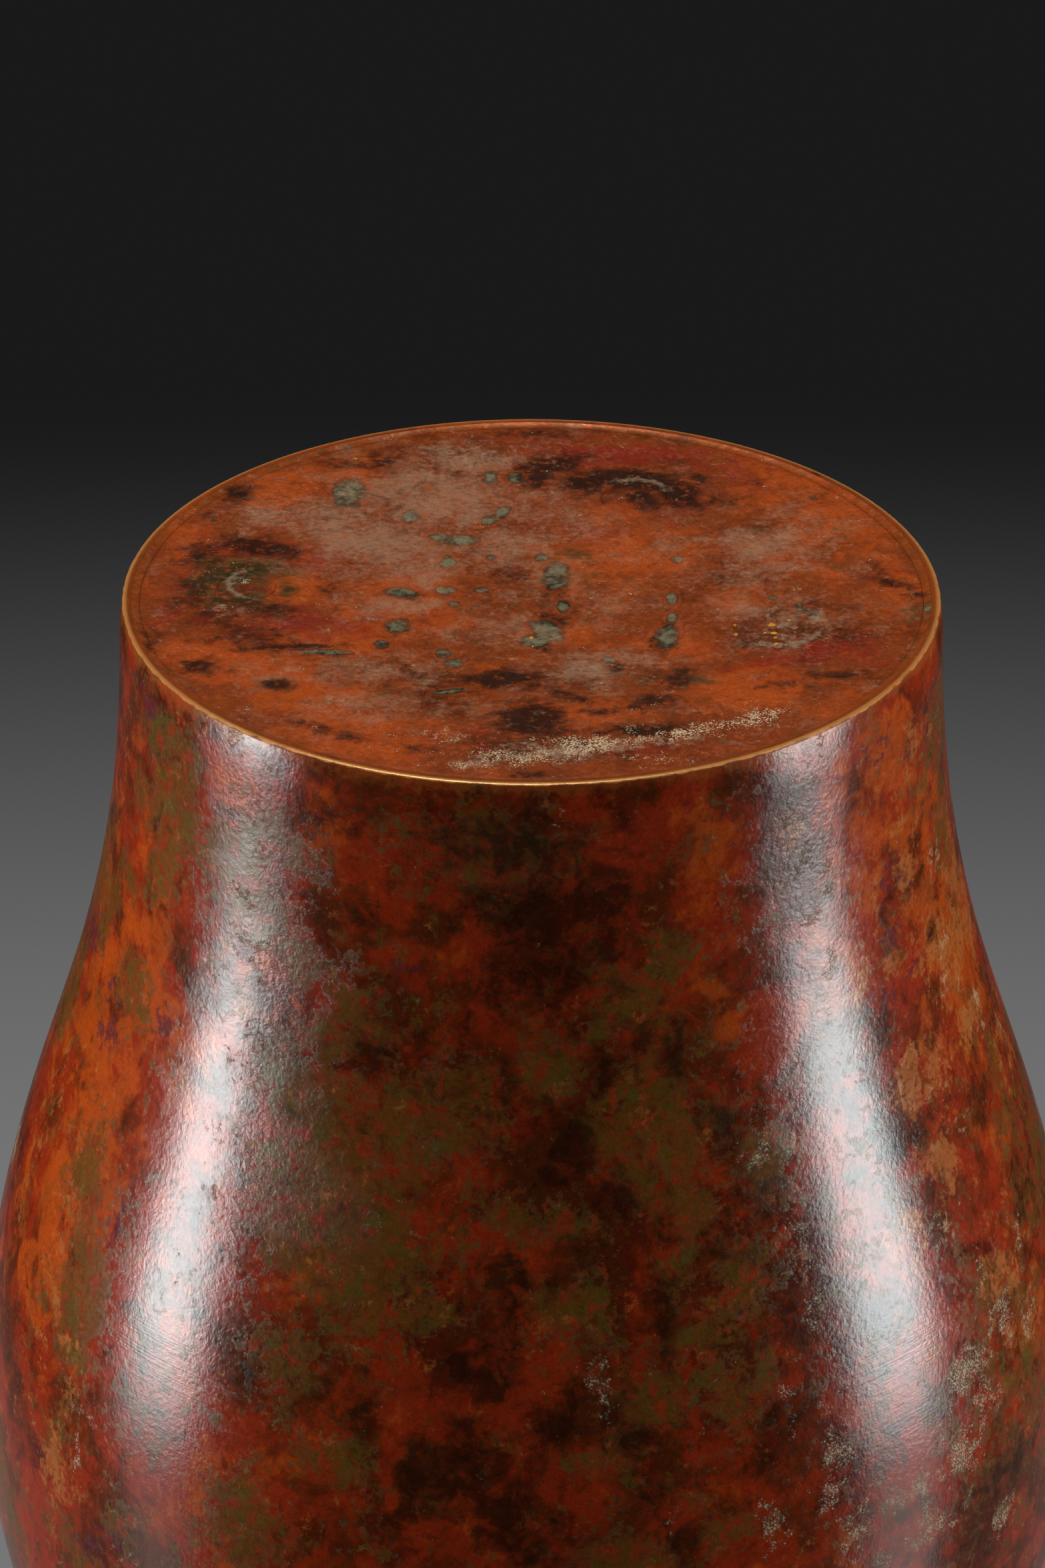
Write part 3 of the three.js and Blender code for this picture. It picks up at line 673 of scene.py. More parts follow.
@dataclass(frozen=True)
class Opening:
    """A round opening in a grid: the block of cells taken out, as first and last row and column."""

    rows: tuple[int, int]
    columns: tuple[int, int]

    def border(self) -> Array:
        """Rows and columns of the grid points round the block, anticlockwise in (column, row).

        Returns:
            An (n, 2) array of (row, column).
        """
        rows = np.arange(*self.rows)
        columns = np.arange(*self.columns)
        low, high = (np.full(len(columns), row) for row in self.rows)
        first, last = (np.full(len(rows), column) for column in self.columns)
        border_rows = np.concatenate([low, rows, high, rows[::-1] + 1])
        border_columns = np.concatenate([columns, last, columns[::-1] + 1, first])
        return np.stack([border_rows, border_columns], axis=1)

    def covers(self, row: Array, column: Array, column_count: int) -> Array:
        """Whether cells of a grid that closes on itself lie in the block that is taken out."""
        inside_rows = (row >= self.rows[0]) & (row < self.rows[1])
        past = (column - self.columns[0]) % column_count
        return inside_rows & (past < self.columns[1] - self.columns[0])

    def lowered(self, rows: int) -> "Opening":
        """The same block in a grid that has more rows before it."""
        return Opening((self.rows[0] + rows, self.rows[1] + rows), self.columns)


def grid_faces(numbers: Array, openings: list[Opening]) -> Array:
    """Faces between neighbouring points of a grid that closes on itself along its columns.

    Args:
        numbers: A (rows, columns) array of point numbers.
        openings: Blocks of cells to leave out.

    Returns:
        An (n, 4) array of point numbers.
    """
    row_count, column_count = numbers.shape
    row, column = np.meshgrid(np.arange(row_count - 1), np.arange(column_count), indexing="ij")
    kept = np.ones(row.shape, bool)
    for opening in openings:
        kept &= ~opening.covers(row, column, column_count)
    row = row[kept]
    column = column[kept]
    ahead = (column + 1) % column_count
    corners = [numbers[row, column], numbers[row, ahead], numbers[row + 1, ahead], numbers[row + 1, column]]
    return np.stack(corners, axis=1)


# Pieces


@dataclass(frozen=True)
class WallSurface:
    """The wall as a surface: a turn about the axis, a length along the outline and a depth below it."""

    outline: WallOutline = WallOutline()
    unevenness: Unevenness = Unevenness(height=0.028, shortest=14.0, longest=48.0)
    calm: float = 4.0
    foot_easing: float = 0.42
    foot_easing_reach: float = 6.0

    def place(self, turn: Array, along: Array, depth: Array) -> Array:
        """Points of the wall: the outline's point, moved out by the waves and in by the depth.

        The outer face is eased inwards towards the foot by the easing times (1 - share of its reach)
        squared, as polishing rounds it.

        Args:
            turn: Angles about the axis, in radians.
            along: Lengths from the foot's edge, in millimetres.
            depth: Depths below the outer face, in millimetres.

        Returns:
            An (n, 3) array in millimetres.
        """
        point, normal = self.outline.at(along)
        plain = np.concatenate([point[:, :1] * circle(turn), point[:, 1:]], axis=1)
        outwards = np.concatenate([normal[:, :1] * circle(turn), normal[:, 1:]], axis=1)
        full = self.outline.travelled()[-1]
        ends = np.clip(np.minimum(along, full - along) / self.calm, 0.0, 1.0)
        easing = self.foot_easing * np.clip(1.0 - along / self.foot_easing_reach, 0.0, 1.0) ** 2
        waves = (self.unevenness.at(plain) * ends - easing) * (depth <= 0.0)
        return plain + outwards * (waves - depth)[:, None]


@dataclass(frozen=True)
class WallHole:
    """A round hole through the wall, square to it, given as the plug's shank, height and turn."""

    shank: float
    height: float
    turn: float
    clearance: float = 0.006

    def local(self, surface: WallSurface) -> tuple[float, float, float]:
        """Turn in radians, length along the wall, and distance from the axis at the hole's centre."""
        along = surface.outline.along_at(self.height)
        point, _ = surface.outline.at(np.array([along]))
        return math.radians(self.turn), along, float(point[0, 0])

    def around(self, surface: WallSurface, offsets: Array, depth: float) -> Array:
        """Points of the wall at (across, up) offsets from the hole's centre."""
        turn, along, reach = self.local(surface)
        across, up = offsets.T
        return surface.place(turn + across / reach, along + up, np.full(len(offsets), depth))


@dataclass(frozen=True)
class BodyCasting:
    """The cast body: foot ring, seat for the plate, wall with its plug holes, lip and inside."""

    holes: tuple[WallHole, ...]
    patches: PatchMap
    surface: WallSurface = WallSurface()
    wall: float = 2.8
    seat_radius: float = 55.3
    seat_depth: float = 3.15
    ledge_radius: float = 51.7
    ledge_top: float = 5.15
    ledge_slope: float = 2.5
    columns: int = 400
    outer_rows: int = 172
    inner_rows: int = 52
    lip_steps: int = 8
    fillet_steps: int = 5
    foot_flat: tuple[float, float] = (0.3, 0.2)
    margin: float = 2.6
    near_shares: tuple[float, ...] = (0.3, 0.55, 0.78, 0.94)
    far_shares: tuple[float, ...] = (0.7, 0.35)
    worn_edge: tuple[tuple[float, float], ...] = ((1.008, 0.004), (1.0, 0.05))
    inside_fade: tuple[float, float] = (0.5, 1.9)
    inside_from: float = 2.0

    def _foot_line(self) -> Array:
        """The flat ring and the worn round edge below the wall, as (radius, height)."""
        outline = self.surface.outline
        centre = outline.foot_radius - outline.foot_edge - self.surface.foot_easing
        angles = np.linspace(-np.pi / 2, 0.0, self.fillet_steps + 1)[:-1]
        edge = np.array([centre, outline.foot_edge]) + outline.foot_edge * circle(angles)
        inner, outer = self.foot_flat
        flat = np.array([[self.seat_radius, 0.0], [self.seat_radius + inner, 0.0], [centre - outer, 0.0]])
        return np.concatenate([flat, edge])

    def _lip_line(self) -> Array:
        """The half round at the mouth: outer end to inner end about the middle of the wall."""
        full = self.surface.outline.travelled()[-1]
        point, normal = self.surface.outline.at(np.array([full]))
        centre = point[0] - normal[0] * self.wall / 2
        ahead = np.array([-normal[0, 1], normal[0, 0]])
        angles = np.linspace(0.0, np.pi, self.lip_steps + 1)[1:-1, None]
        return centre + self.wall / 2 * (normal[0] * np.cos(angles) + ahead * np.sin(angles))

    def _ledge_line(self) -> Array:
        """The ledge's slope, rim and face, and the seat's corner, as (radius, height)."""
        return np.array([
            [self.ledge_radius, self.ledge_top],
            [self.ledge_radius, self.seat_depth],
            [self.seat_radius, self.seat_depth],
        ])

    def _inner_alongs(self) -> Array:
        """Lengths along the outline of the inside's rows, from the mouth down to the ledge's slope."""
        outline = self.surface.outline
        low = outline.along_at(self.ledge_top + self.ledge_slope)
        return np.linspace(outline.travelled()[-1], low, self.inner_rows)

    def _block(self, alongs: Array, centre: tuple[float, float, float], rows: int, columns: int) -> Opening:
        """The block of cells of the given size that lies most evenly about a hole's centre."""
        turn, along, _ = centre
        step = math.tau / self.columns
        nearest = int(np.argmin(np.abs(alongs - along)))
        first_row = nearest - rows // 2
        first_column = int(round(turn / step)) - columns // 2
        return Opening((first_row, first_row + rows), (first_column, first_column + columns))

    def _ring(self, hole: WallHole, alongs: Array, block: Opening, numbers: Array) -> tuple[Array, Array]:
        """Point numbers round a block sorted by angle about the hole, and their places across and up.

        Args:
            hole: The hole.
            alongs: Length along the wall of each row.
            block: The block of cells taken out.
            numbers: Point numbers of these rows.

        Returns:
            The sorted numbers, and an (n, 2) array of places.
        """
        turn, along, reach = hole.local(self.surface)
        border = block.border()
        turns = border[:, 1] * math.tau / self.columns
        across = ((turns - turn + np.pi) % math.tau - np.pi) * reach
        up = alongs[border[:, 0]] - along
        order = np.argsort(np.arctan2(up, across))
        found = numbers[border[:, 0], border[:, 1] % self.columns]
        return found[order], np.stack([across, up], axis=1)[order]

    def _pierce(
        self, draft: MeshDraft, hole: WallHole, outer: tuple[Array, Array], inner: tuple[Array, Array]
    ) -> None:
        """Carries rings of points from the outer face through the hole to the inner face.

        Args:
            draft: The mesh in the making.
            hole: The hole.
            outer: Numbers and places of the points round the block on the outer face.
            inner: The same on the inner face.
        """
        angles = np.arctan2(outer[1][:, 1], outer[1][:, 0])
        edge = circle(angles) * (hole.shank + hole.clearance)
        steps = [(outer[1] * (1.0 - share) + edge * share, 0.0) for share in self.near_shares]
        steps += [(edge * spread, depth) for spread, depth in self.worn_edge]
        steps += [(edge, self.wall)]
        steps += [(inner[1] * (1.0 - share) + edge * share, self.wall) for share in self.far_shares]
        rings = [draft.add_points(hole.around(self.surface, offsets, depth)) for offsets, depth in steps]
        draft.join_rings([outer[0], *rings, inner[0]])

    def draft(self) -> MeshDraft:
        """The casting's closed surface: one loop of rows turned about the axis, with its holes joined."""
        draft = MeshDraft()
        turns = full_turn(self.columns)
        full = self.surface.outline.travelled()[-1]
        outer_alongs = np.linspace(0.0, full, self.outer_rows)
        inner_alongs = self._inner_alongs()
        foot = draft.add_points(revolve(self._foot_line(), turns))
        outer = draft.add_points(self._wall_rows(turns, outer_alongs, 0.0))
        lip = draft.add_points(revolve(self._lip_line(), turns))
        inner = draft.add_points(self._wall_rows(turns, inner_alongs, self.wall))
        ledge = draft.add_points(revolve(self._ledge_line(), turns))
        numbers = np.concatenate([foot, outer, lip, inner, ledge]).reshape(-1, self.columns)
        numbers = np.concatenate([numbers, numbers[:1]])
        outer_start = len(foot) // self.columns
        inner_start = outer_start + self.outer_rows + len(lip) // self.columns
        outer_rows = outer.reshape(-1, self.columns)
        inner_rows = inner.reshape(-1, self.columns)
        blocks = []
        for hole in self.holes:
            centre = hole.local(self.surface)
            need = 2.0 * (hole.shank + self.margin)
            rows = math.ceil(need / (outer_alongs[1] - outer_alongs[0]))
            columns = math.ceil(need / (centre[2] * math.tau / self.columns))
            deep_rows = math.ceil(need / (inner_alongs[0] - inner_alongs[1])) + 1
            near = self._block(outer_alongs, centre, rows, columns)
            far = self._block(inner_alongs, centre, deep_rows, rows + columns - deep_rows)
            outer_ring = self._ring(hole, outer_alongs, near, outer_rows)
            inner_ring = self._ring(hole, inner_alongs, far, inner_rows)
            self._pierce(draft, hole, outer_ring, inner_ring)
            blocks.append(near.lowered(outer_start))
            blocks.append(far.lowered(inner_start))
        draft.quads.append(grid_faces(numbers, blocks))
        return draft

    def _wall_rows(self, turns: Array, alongs: Array, depth: float) -> Array:
        """Points of whole rows of the wall at one depth."""
        turn = np.tile(turns, len(alongs))
        along = np.repeat(alongs, len(turns))
        return self.surface.place(turn, along, np.full(len(turn), depth))

    def build(self) -> bpy.types.Object:
        """Makes the body, with the strength of each tone of its patina at each point."""
        draft = self.draft()
        values = wall_values(self.patches, draft.places())
        values["inside"] = self._inside(draft.places())
        return draft.build("body_shell", values)

    def _inside(self, points: Array) -> Array:
        """One on the inner faces and zero outside: how far a point lies within the outline."""
        line = self.surface.outline.line()
        depth = np.interp(points[:, 2], line[:, 1], line[:, 0]) - np.hypot(points[:, 0], points[:, 1])
        start, end = self.inside_fade
        return np.clip((depth - start) / (end - start), 0.0, 1.0) * (points[:, 2] > self.inside_from)


@dataclass(frozen=True)
class BasePlugPlace:
    """A base plug: shank radius, distance from the axis, turn, mound, and tilt towards a direction."""

    name: str
    node: str
    shank: float
    from_axis: float
    turn: float
    mound: float
    tilt: float
    tilt_turn: float

    def centre(self) -> Array:
        """Centre of the plug in the plate, in millimetres."""
        return self.axes()[1] * self.from_axis

    def axes(self) -> Array:
        """Directions along the turn and out from the axis, as the rows of a (2, 2) array."""
        angle = math.radians(self.turn)
        return np.array([[-math.sin(angle), math.cos(angle)], [math.cos(angle), math.sin(angle)]])


@dataclass(frozen=True)
class PlateSurface:
    """The plate's underside with its slight unevenness, and the same surface raised for its top."""

    form: PlateForm = PlateForm()
    unevenness: Unevenness = Unevenness(height=0.05, shortest=9.0, longest=42.0, seed=9)
    calm: float = 5.0

    def height(self, flat: Array) -> Array:
        """Height of the underside at (x, y) places: the bowl plus the waves, calm at the edge."""
        radius = np.hypot(flat[:, 0], flat[:, 1])
        calm = np.clip((self.form.radius - radius) / self.calm, 0.0, 1.0)
        level = np.concatenate([flat, np.zeros((len(flat), 1))], axis=1)
        return self.form.underside(radius) + self.unevenness.at(level) * calm

    def place(self, flat: Array, rise: float) -> Array:
        """Points over (x, y) places, a rise above the underside."""
        return np.concatenate([flat, (self.height(flat) + rise)[:, None]], axis=1)


@dataclass(frozen=True)
class BasePlate:
    """The dished base plate with its four plug holes."""

    plugs: tuple[BasePlugPlace, ...]
    patches: PatchMap
    surface: PlateSurface = PlateSurface()
    clearance: float = 0.02
    columns: int = 360
    rows: int = 118
    first_radius: float = 0.5
    edge_width: float = 0.12
    edge_line: tuple[tuple[float, float], ...] = ((-0.03, 0.04), (0.0, 0.15))
    edge_top: float = 0.1
    margin: float = 2.2
    near_shares: tuple[float, ...] = (0.3, 0.55, 0.78, 0.93)
    worn_edge: tuple[tuple[float, float], ...] = ((0.07, 0.01), (0.02, 0.04), (0.0, 0.12))

    def _radii(self) -> Array:
        """Radii of the underside's rows, from near the centre to the edge."""
        return np.linspace(self.first_radius, self.surface.form.radius - self.edge_width, self.rows)

    def _block(self, plug: BasePlugPlace) -> Opening:
        """The block of cells about a plug's hole."""
        radii = self._radii()
        need = plug.shank + self.margin
        low_row = int(np.searchsorted(radii, plug.from_axis - need))
        high_row = min(int(np.searchsorted(radii, plug.from_axis + need)), self.rows - 3)
        half = math.ceil(need / (plug.from_axis * math.tau / self.columns))
        middle = int(round(math.radians(plug.turn) * self.columns / math.tau))
        return Opening((low_row, high_row), (middle - half, middle + half))

    def _ring(self, plug: BasePlugPlace, block: Opening, numbers: Array) -> tuple[Array, Array]:
        """Point numbers round a block sorted by angle about the plug, and their (x, y) places."""
        border = block.border()
        angles = border[:, 1] * math.tau / self.columns
        flat = self._radii()[border[:, 0], None] * circle(angles)
        order = np.argsort(self._angle(plug, flat))
        return numbers[border[:, 0], border[:, 1] % self.columns][order], flat[order]

    def _angle(self, plug: BasePlugPlace, flat: Array) -> Array:
        """Angle of places about a plug, from along the turn towards out from the axis."""
        along_turn, outwards = plug.axes() @ (flat - plug.centre()).T
        return np.arctan2(outwards, along_turn)

    def _circle(self, plug: BasePlugPlace, angles: Array, radius: float) -> Array:
        """Places on a circle about a plug at the angles that _angle gives."""
        return plug.centre() + radius * circle(angles) @ plug.axes()

    def _pierce(self, draft: MeshDraft, plug: BasePlugPlace, near: Array, far: Array, flat: Array) -> None:
        """Carries rings of points from the underside through the hole to the top.

        Args:
            draft: The mesh in the making.
            plug: The plug whose hole it is.
            near: Point numbers round the block on the underside.
            far: The same on the top.
            flat: Their (x, y) places.
        """
        radius = plug.shank + self.clearance
        thickness = self.surface.form.thickness
        angles = self._angle(plug, flat)
        edge = self._circle(plug, angles, radius)
        steps = [(flat * (1.0 - share) + edge * share, 0.0) for share in self.near_shares]
        steps += [(self._circle(plug, angles, radius + spread), rise) for spread, rise in self.worn_edge]
        steps += [(edge, thickness), (flat * 0.5 + edge * 0.5, thickness)]
        rings = [draft.add_points(self.surface.place(places, rise)) for places, rise in steps]
        draft.join_rings([near, *rings, far])

    def draft(self) -> MeshDraft:
        """The plate's closed surface: underside, edge and top, with its holes joined."""
        draft = MeshDraft()
        form = self.surface.form
        turns = full_turn(self.columns)
        spread = self._radii()[:, None, None] * circle(turns)
        near = draft.add_points(self.surface.place(spread.reshape(-1, 2), 0.0))
        edge_line = np.array([*self.edge_line, (0.0, form.thickness - self.edge_top)])
        edge = draft.add_points(revolve(edge_line + (form.radius, form.recess), turns))
        far = draft.add_points(self.surface.place(spread[::-1].reshape(-1, 2), form.thickness))
        numbers = np.concatenate([near, edge, far]).reshape(-1, self.columns)
        near_rows = near.reshape(-1, self.columns)
        far_rows = far.reshape(-1, self.columns)[::-1]
        blocks = []
        last_row = len(numbers) - 1
        for plug in self.plugs:
            block = self._block(plug)
            ring, flat = self._ring(plug, block, near_rows)
            far_ring, _ = self._ring(plug, block, far_rows)
            self._pierce(draft, plug, ring, far_ring, flat)
            blocks.append(block)
            blocks.append(Opening((last_row - block.rows[1], last_row - block.rows[0]), block.columns))
        draft.quads.append(grid_faces(numbers, blocks))
        centre = self.surface.place(np.zeros((1, 2)), 0.0)[0]
        draft.close_ring(near_rows[0], centre, False)
        draft.close_ring(far_rows[0], centre + np.array([0.0, 0.0, form.thickness]), True)
        return draft

    def build(self) -> bpy.types.Object:
        """Makes the plate, with the strength of each tone of its patina and of its painted light at each
        point.
        """
        draft = self.draft()
        return draft.build("dished_plate", base_values(self.patches, draft.places()))


@dataclass(frozen=True)
class BasePlug:
    """A plug in the base plate: a low mound below, a shank, and a riveted head above the plate."""

    place: BasePlugPlace
    patches: PatchMap
    surface: PlateSurface = PlateSurface()
    gap: float = 0.3
    rivet_overhang: float = 1.2
    rivet_thickness: float = 1.0
    rivet_chamfer: tuple[float, float] = (0.15, 0.35)
    rivet_middle: float = 0.4
    mound_rise: float = 0.3
    face_shares: tuple[float, float] = (0.06, 0.955)
    worn_edge: tuple[tuple[float, float], ...] = ((0.03, 0.008), (0.008, 0.03), (0.0, 0.1), (0.0, 0.4))
    columns: int = 96
    face_rows: int = 16

    def _ring(self, radius: float, rise: float, turns: Array) -> Array:
        """Points of one ring: on the plate's face, lowered by the mound and the tilt, and raised."""
        plug = self.place
        points = self.surface.place(plug.centre() + circle(turns) * radius, rise)
        share = min(radius / plug.shank, 1.0)
        if rise < self.mound_rise:
            towards = np.cos(turns - math.radians(plug.tilt_turn))
            points[:, 2] -= plug.mound * (1.0 - share**3) + plug.tilt * share * towards
        return points

    def build(self) -> bpy.types.Object:
        """Makes the plug as rings from the middle of its face to the middle of its head."""
        draft = MeshDraft()
        plug = self.place
        turns = full_turn(self.columns)
        head = plug.shank + self.rivet_overhang
        low = self.surface.form.thickness + self.gap
        top = low + self.rivet_thickness
        inwards, upwards = self.rivet_chamfer
        rings = [(plug.shank * share, 0.0) for share in np.linspace(*self.face_shares, self.face_rows)]
        rings += [(plug.shank - worn, rise) for worn, rise in self.worn_edge]
        rings += [(plug.shank, low), (head, low), (head - inwards, low + upwards), (plug.shank, top)]
        rings += [(plug.shank * self.rivet_middle, top)]
        numbers = [draft.add_points(self._ring(radius, rise, turns)) for radius, rise in rings]
        draft.join_rings(numbers)
        draft.close_ring(numbers[0], self._ring(0.0, 0.0, turns)[0], False)
        draft.close_ring(numbers[-1], self._ring(0.0, top, turns)[0], True)
        return draft.build(plug.name, base_values(self.patches, draft.places()))


@dataclass(frozen=True)
class WallPlug:
    """A plug in the wall: a face dressed flush with the wall, a shank, and a head on the inside."""

    name: str
    hole: WallHole
    patches: PatchMap
    surface: WallSurface = WallSurface()
    wall: float = 2.8
    gap: float = 0.3
    rivet_overhang: float = 1.2
    rivet_thickness: float = 1.0
    rivet_side: float = 0.6
    rivet_middle: float = 0.4
    face_shares: tuple[float, float] = (0.08, 0.97)
    worn_edge: tuple[tuple[float, float], ...] = ((0.02, 0.01), (0.0, 0.06))
    columns: int = 88
    face_rows: int = 12

    def build(self) -> bpy.types.Object:
        """Makes the plug as rings from the middle of its face to the middle of its head."""
        draft = MeshDraft()
        shank = self.hole.shank
        spread = circle(full_turn(self.columns))
        head = shank + self.rivet_overhang
        deep = self.wall + self.gap
        back = deep + self.rivet_thickness
        rings = [(shank * share, 0.0) for share in np.linspace(*self.face_shares, self.face_rows)]
        rings += [(shank - worn, depth) for worn, depth in self.worn_edge]
        rings += [(shank, deep), (head, deep), (head, deep + self.rivet_side)]
        rings += [(shank, back), (shank * self.rivet_middle, back)]
        numbers = []
        for radius, depth in rings:
            numbers.append(draft.add_points(self.hole.around(self.surface, spread * radius, depth)))
        draft.join_rings(numbers[::-1])
        middle = np.zeros((1, 2))
        draft.close_ring(numbers[0], self.hole.around(self.surface, middle, 0.0)[0], True)
        draft.close_ring(numbers[-1], self.hole.around(self.surface, middle, back)[0], False)
        return draft.build(self.name, wall_values(self.patches, draft.places()))


@dataclass(frozen=True)
class SolderRing:
    """The ring of solder between the plate and the foot, a hollow fillet on its lower face."""

    patches: PatchMap
    inside: float = 54.17
    outside: float = 55.28
    low_inside: float = 0.47
    low_outside: float = 0.06
    top: float = 2.85
    hollow: float = 1.6
    columns: int = 360
    face_rows: int = 6
    unevenness: Unevenness = Unevenness(height=0.05, shortest=3.0, longest=16.0, seed=12)

    def build(self) -> bpy.types.Object:
        """Makes the ring: a fillet that falls by a power of the share across it, and plain sides."""
        draft = MeshDraft()
        share = np.linspace(0.0, 1.0, self.face_rows)
        fillet_height = self.low_inside + (self.low_outside - self.low_inside) * share**self.hollow
        face = np.stack([self.inside + (self.outside - self.inside) * share, fillet_height], axis=1)
        line = np.array([*face, (self.outside, self.top), (self.inside, self.top)])
        points = revolve(line, full_turn(self.columns))
        fillet = points[: self.face_rows * self.columns]
        fillet[:, 2] += np.abs(self.unevenness.at(fillet)) * np.repeat(np.sin(np.pi * share), self.columns)
        numbers = draft.add_points(points).reshape(-1, self.columns)
        draft.quads.append(grid_faces(np.concatenate([numbers, numbers[:1]]), []))
        return draft.build("solder_fillet", base_values(self.patches, draft.places()))


# Finishes


def linear(red: int, green: int, blue: int) -> Colour:
    """A display colour from 0 to 255 as the linear colour that a shader takes."""
    parts = []
    for part in (red, green, blue):
        share = part / 255.0
        parts.append(share / 12.92 if share <= 0.04045 else ((share + 0.055) / 1.055) ** 2.4)
    return parts[0], parts[1], parts[2]


class Graph:
    """Nodes of a material or of the surround, built by small steps that each return the socket they make."""

    octave_spread = 0.135
    shift = (0.31, 0.17, -0.23)

    def __init__(self, owner: bpy.types.ID, place: str = "Object", grain: tuple[float, ...] = ()) -> None:
        """Empties the owner's nodes.

        Args:
            owner: The material or surround.
            place: Which of the coordinates is the place.
            grain: The fine grain, given as swing takes it, where there is one.
        """
        owner.use_nodes = True
        self.owner = owner
        self.nodes = owner.node_tree.nodes
        self.links = owner.node_tree.links
        self.nodes.clear()
        self.place = self.nodes.new("ShaderNodeTexCoord").outputs[place]
        self.noises = 0
        self.fine = self.swing(*grain) if grain else None

    def feed(self, socket: Socket, value: object) -> None:
        """Links a socket to another, or sets its constant."""
        if isinstance(value, bpy.types.NodeSocket):
            self.links.new(value, socket)
        elif socket.type == "RGBA":
            socket.default_value = (*value, 1.0)
        else:
            socket.default_value = value

    def step(
        self, kind: str, feeds: dict[str | int, object], output: str | int = 0, **settings: object
    ) -> Socket:
        """Adds one node.

        Args:
            kind: Blender's name of the node.
            feeds: A socket or a constant for each input, by the input's name or number.
            output: The output to return, by its name or number.
            **settings: The node's own settings.

        Returns:
            The output's socket.
        """
        node = self.nodes.new(kind)
        for name, setting in settings.items():
            setattr(node, name, setting)
        for key, value in feeds.items():
            self.feed(node.inputs[key], value)
        return node.outputs[output]

    def strength(self, tone: Tone | str) -> Socket:
        """The strength of a tone at the point being shaded."""
        name = tone.value if isinstance(tone, Tone) else tone
        return self.step("ShaderNodeAttribute", {}, "Fac", attribute_name=name)

    def math(self, operation: str, *values: object) -> Socket:
        """One arithmetic step on up to three values."""
        return self.step("ShaderNodeMath", dict(enumerate(values)), operation=operation)

    def total(self, *values: object) -> Socket:
        """The sum of the values."""
        result = values[0]
        for value in values[1:]:
            result = self.math("ADD", result, value)
        return result

    def times(self, *values: object) -> Socket:
        """The product of the values."""
        result = values[0]
        for value in values[1:]:
            result = self.math("MULTIPLY", result, value)
        return result

    def spread_place(self, stretch: Triple) -> Socket:
        """The place, squeezed by factors and moved so that no two noises match."""
        self.noises += 1
        moved = tuple(part * self.noises for part in self.shift)
        feeds = {"Vector": self.place, "Scale": stretch, "Location": moved}
        return self.step("ShaderNodeMapping", feeds)

    def noise(self, size: float, detail: int, rough: float, wander: float, stretch: Triple = EVEN) -> Socket:
        """Cloudy noise about one half, with features of a size in millimetres."""
        feeds = {
            "Vector": self.spread_place(stretch),
            "Scale": 1.0 / (size * MM),
            "Detail": detail,
            "Roughness": rough,
            "Distortion": wander,
        }
        return self.step("ShaderNodeTexNoise", feeds, "Fac")

    def swing(
        self, size: float, spread: float, detail: int = 3, rough: float = 0.55, wander: float = 0.0
    ) -> Socket:
        """Noise about zero. Its spread is worked out from how the octaves add up.

        Args:
            size: Size of the largest features, in millimetres.
            spread: Standard deviation of the result.
            detail: Octaves above the first.
            rough: Strength of each octave as a share of the one before.
            wander: How far the pattern is bent by itself.

        Returns:
            The socket with the noise.
        """
        octaves = rough ** np.arange(detail + 1)
        own = self.octave_spread * math.sqrt(float((octaves**2).sum())) / float(octaves.sum())
        gain = spread / own
        return self.math("MULTIPLY_ADD", self.noise(size, detail, rough, wander), gain, -0.5 * gain)

    def area(self, tone: Tone | str, grain: float, *noise: float) -> Socket:
        """A tone's strength, with its border broken up by a swing and by a share of the fine grain."""
        broken = self.total(self.strength(tone), self.swing(*noise))
        return self.total(broken, self.times(self.fine, grain)) if grain else broken

    def cells(self, size: float) -> Socket:
        """Distance to the centres of scattered cells of a size in millimetres."""
        feeds = {"Vector": self.spread_place(EVEN), "Scale": 1.0 / (size * MM)}
        return self.step("ShaderNodeTexVoronoi", feeds, "Distance")

    def ramp(self, value: Socket, low: float, high: float, least: float = 0.0, most: float = 1.0) -> Socket:
        """A smooth rise from the least at the low value to the most at the high value."""
        feeds = {"Value": value, "From Min": low, "From Max": high, "To Min": least, "To Max": most}
        return self.step("ShaderNodeMapRange", feeds, interpolation_type="SMOOTHSTEP")

    def hump(self, value: Socket, middle: float, half: float) -> Socket:
        """One where the value is at the middle, falling smoothly to zero at a half width on each side."""
        off = self.math("ABSOLUTE", self.math("SUBTRACT", value, middle))
        return self.math("SUBTRACT", 1.0, self.ramp(off, 0.0, half))

    def tint(self, share: Socket, first: Socket | Colour, second: Socket | Colour) -> Socket:
        """Mixes two colours by a share."""
        return self.step("ShaderNodeMix", {0: share, 6: first, 7: second}, 2, data_type="RGBA")

    def wash(self, under: Socket, over: Socket | Colour, *shares: object) -> Socket:
        """A colour with another laid over it, by the product of the shares."""
        return self.tint(self.times(*shares), under, over)

    def grained(self, colour: Socket, *grain: Socket) -> Socket:
        """A colour with its brightness multiplied by one plus the sum of the grains."""
        return self.step("ShaderNodeHueSaturation", {"Color": colour, "Value": self.total(1.0, *grain)})

    def split_place(self) -> tuple[Socket, Socket, Socket]:
        """The three parts of the place."""
        node = self.nodes.new("ShaderNodeSeparateXYZ")
        self.feed(node.inputs[0], self.place)
        return node.outputs[0], node.outputs[1], node.outputs[2]

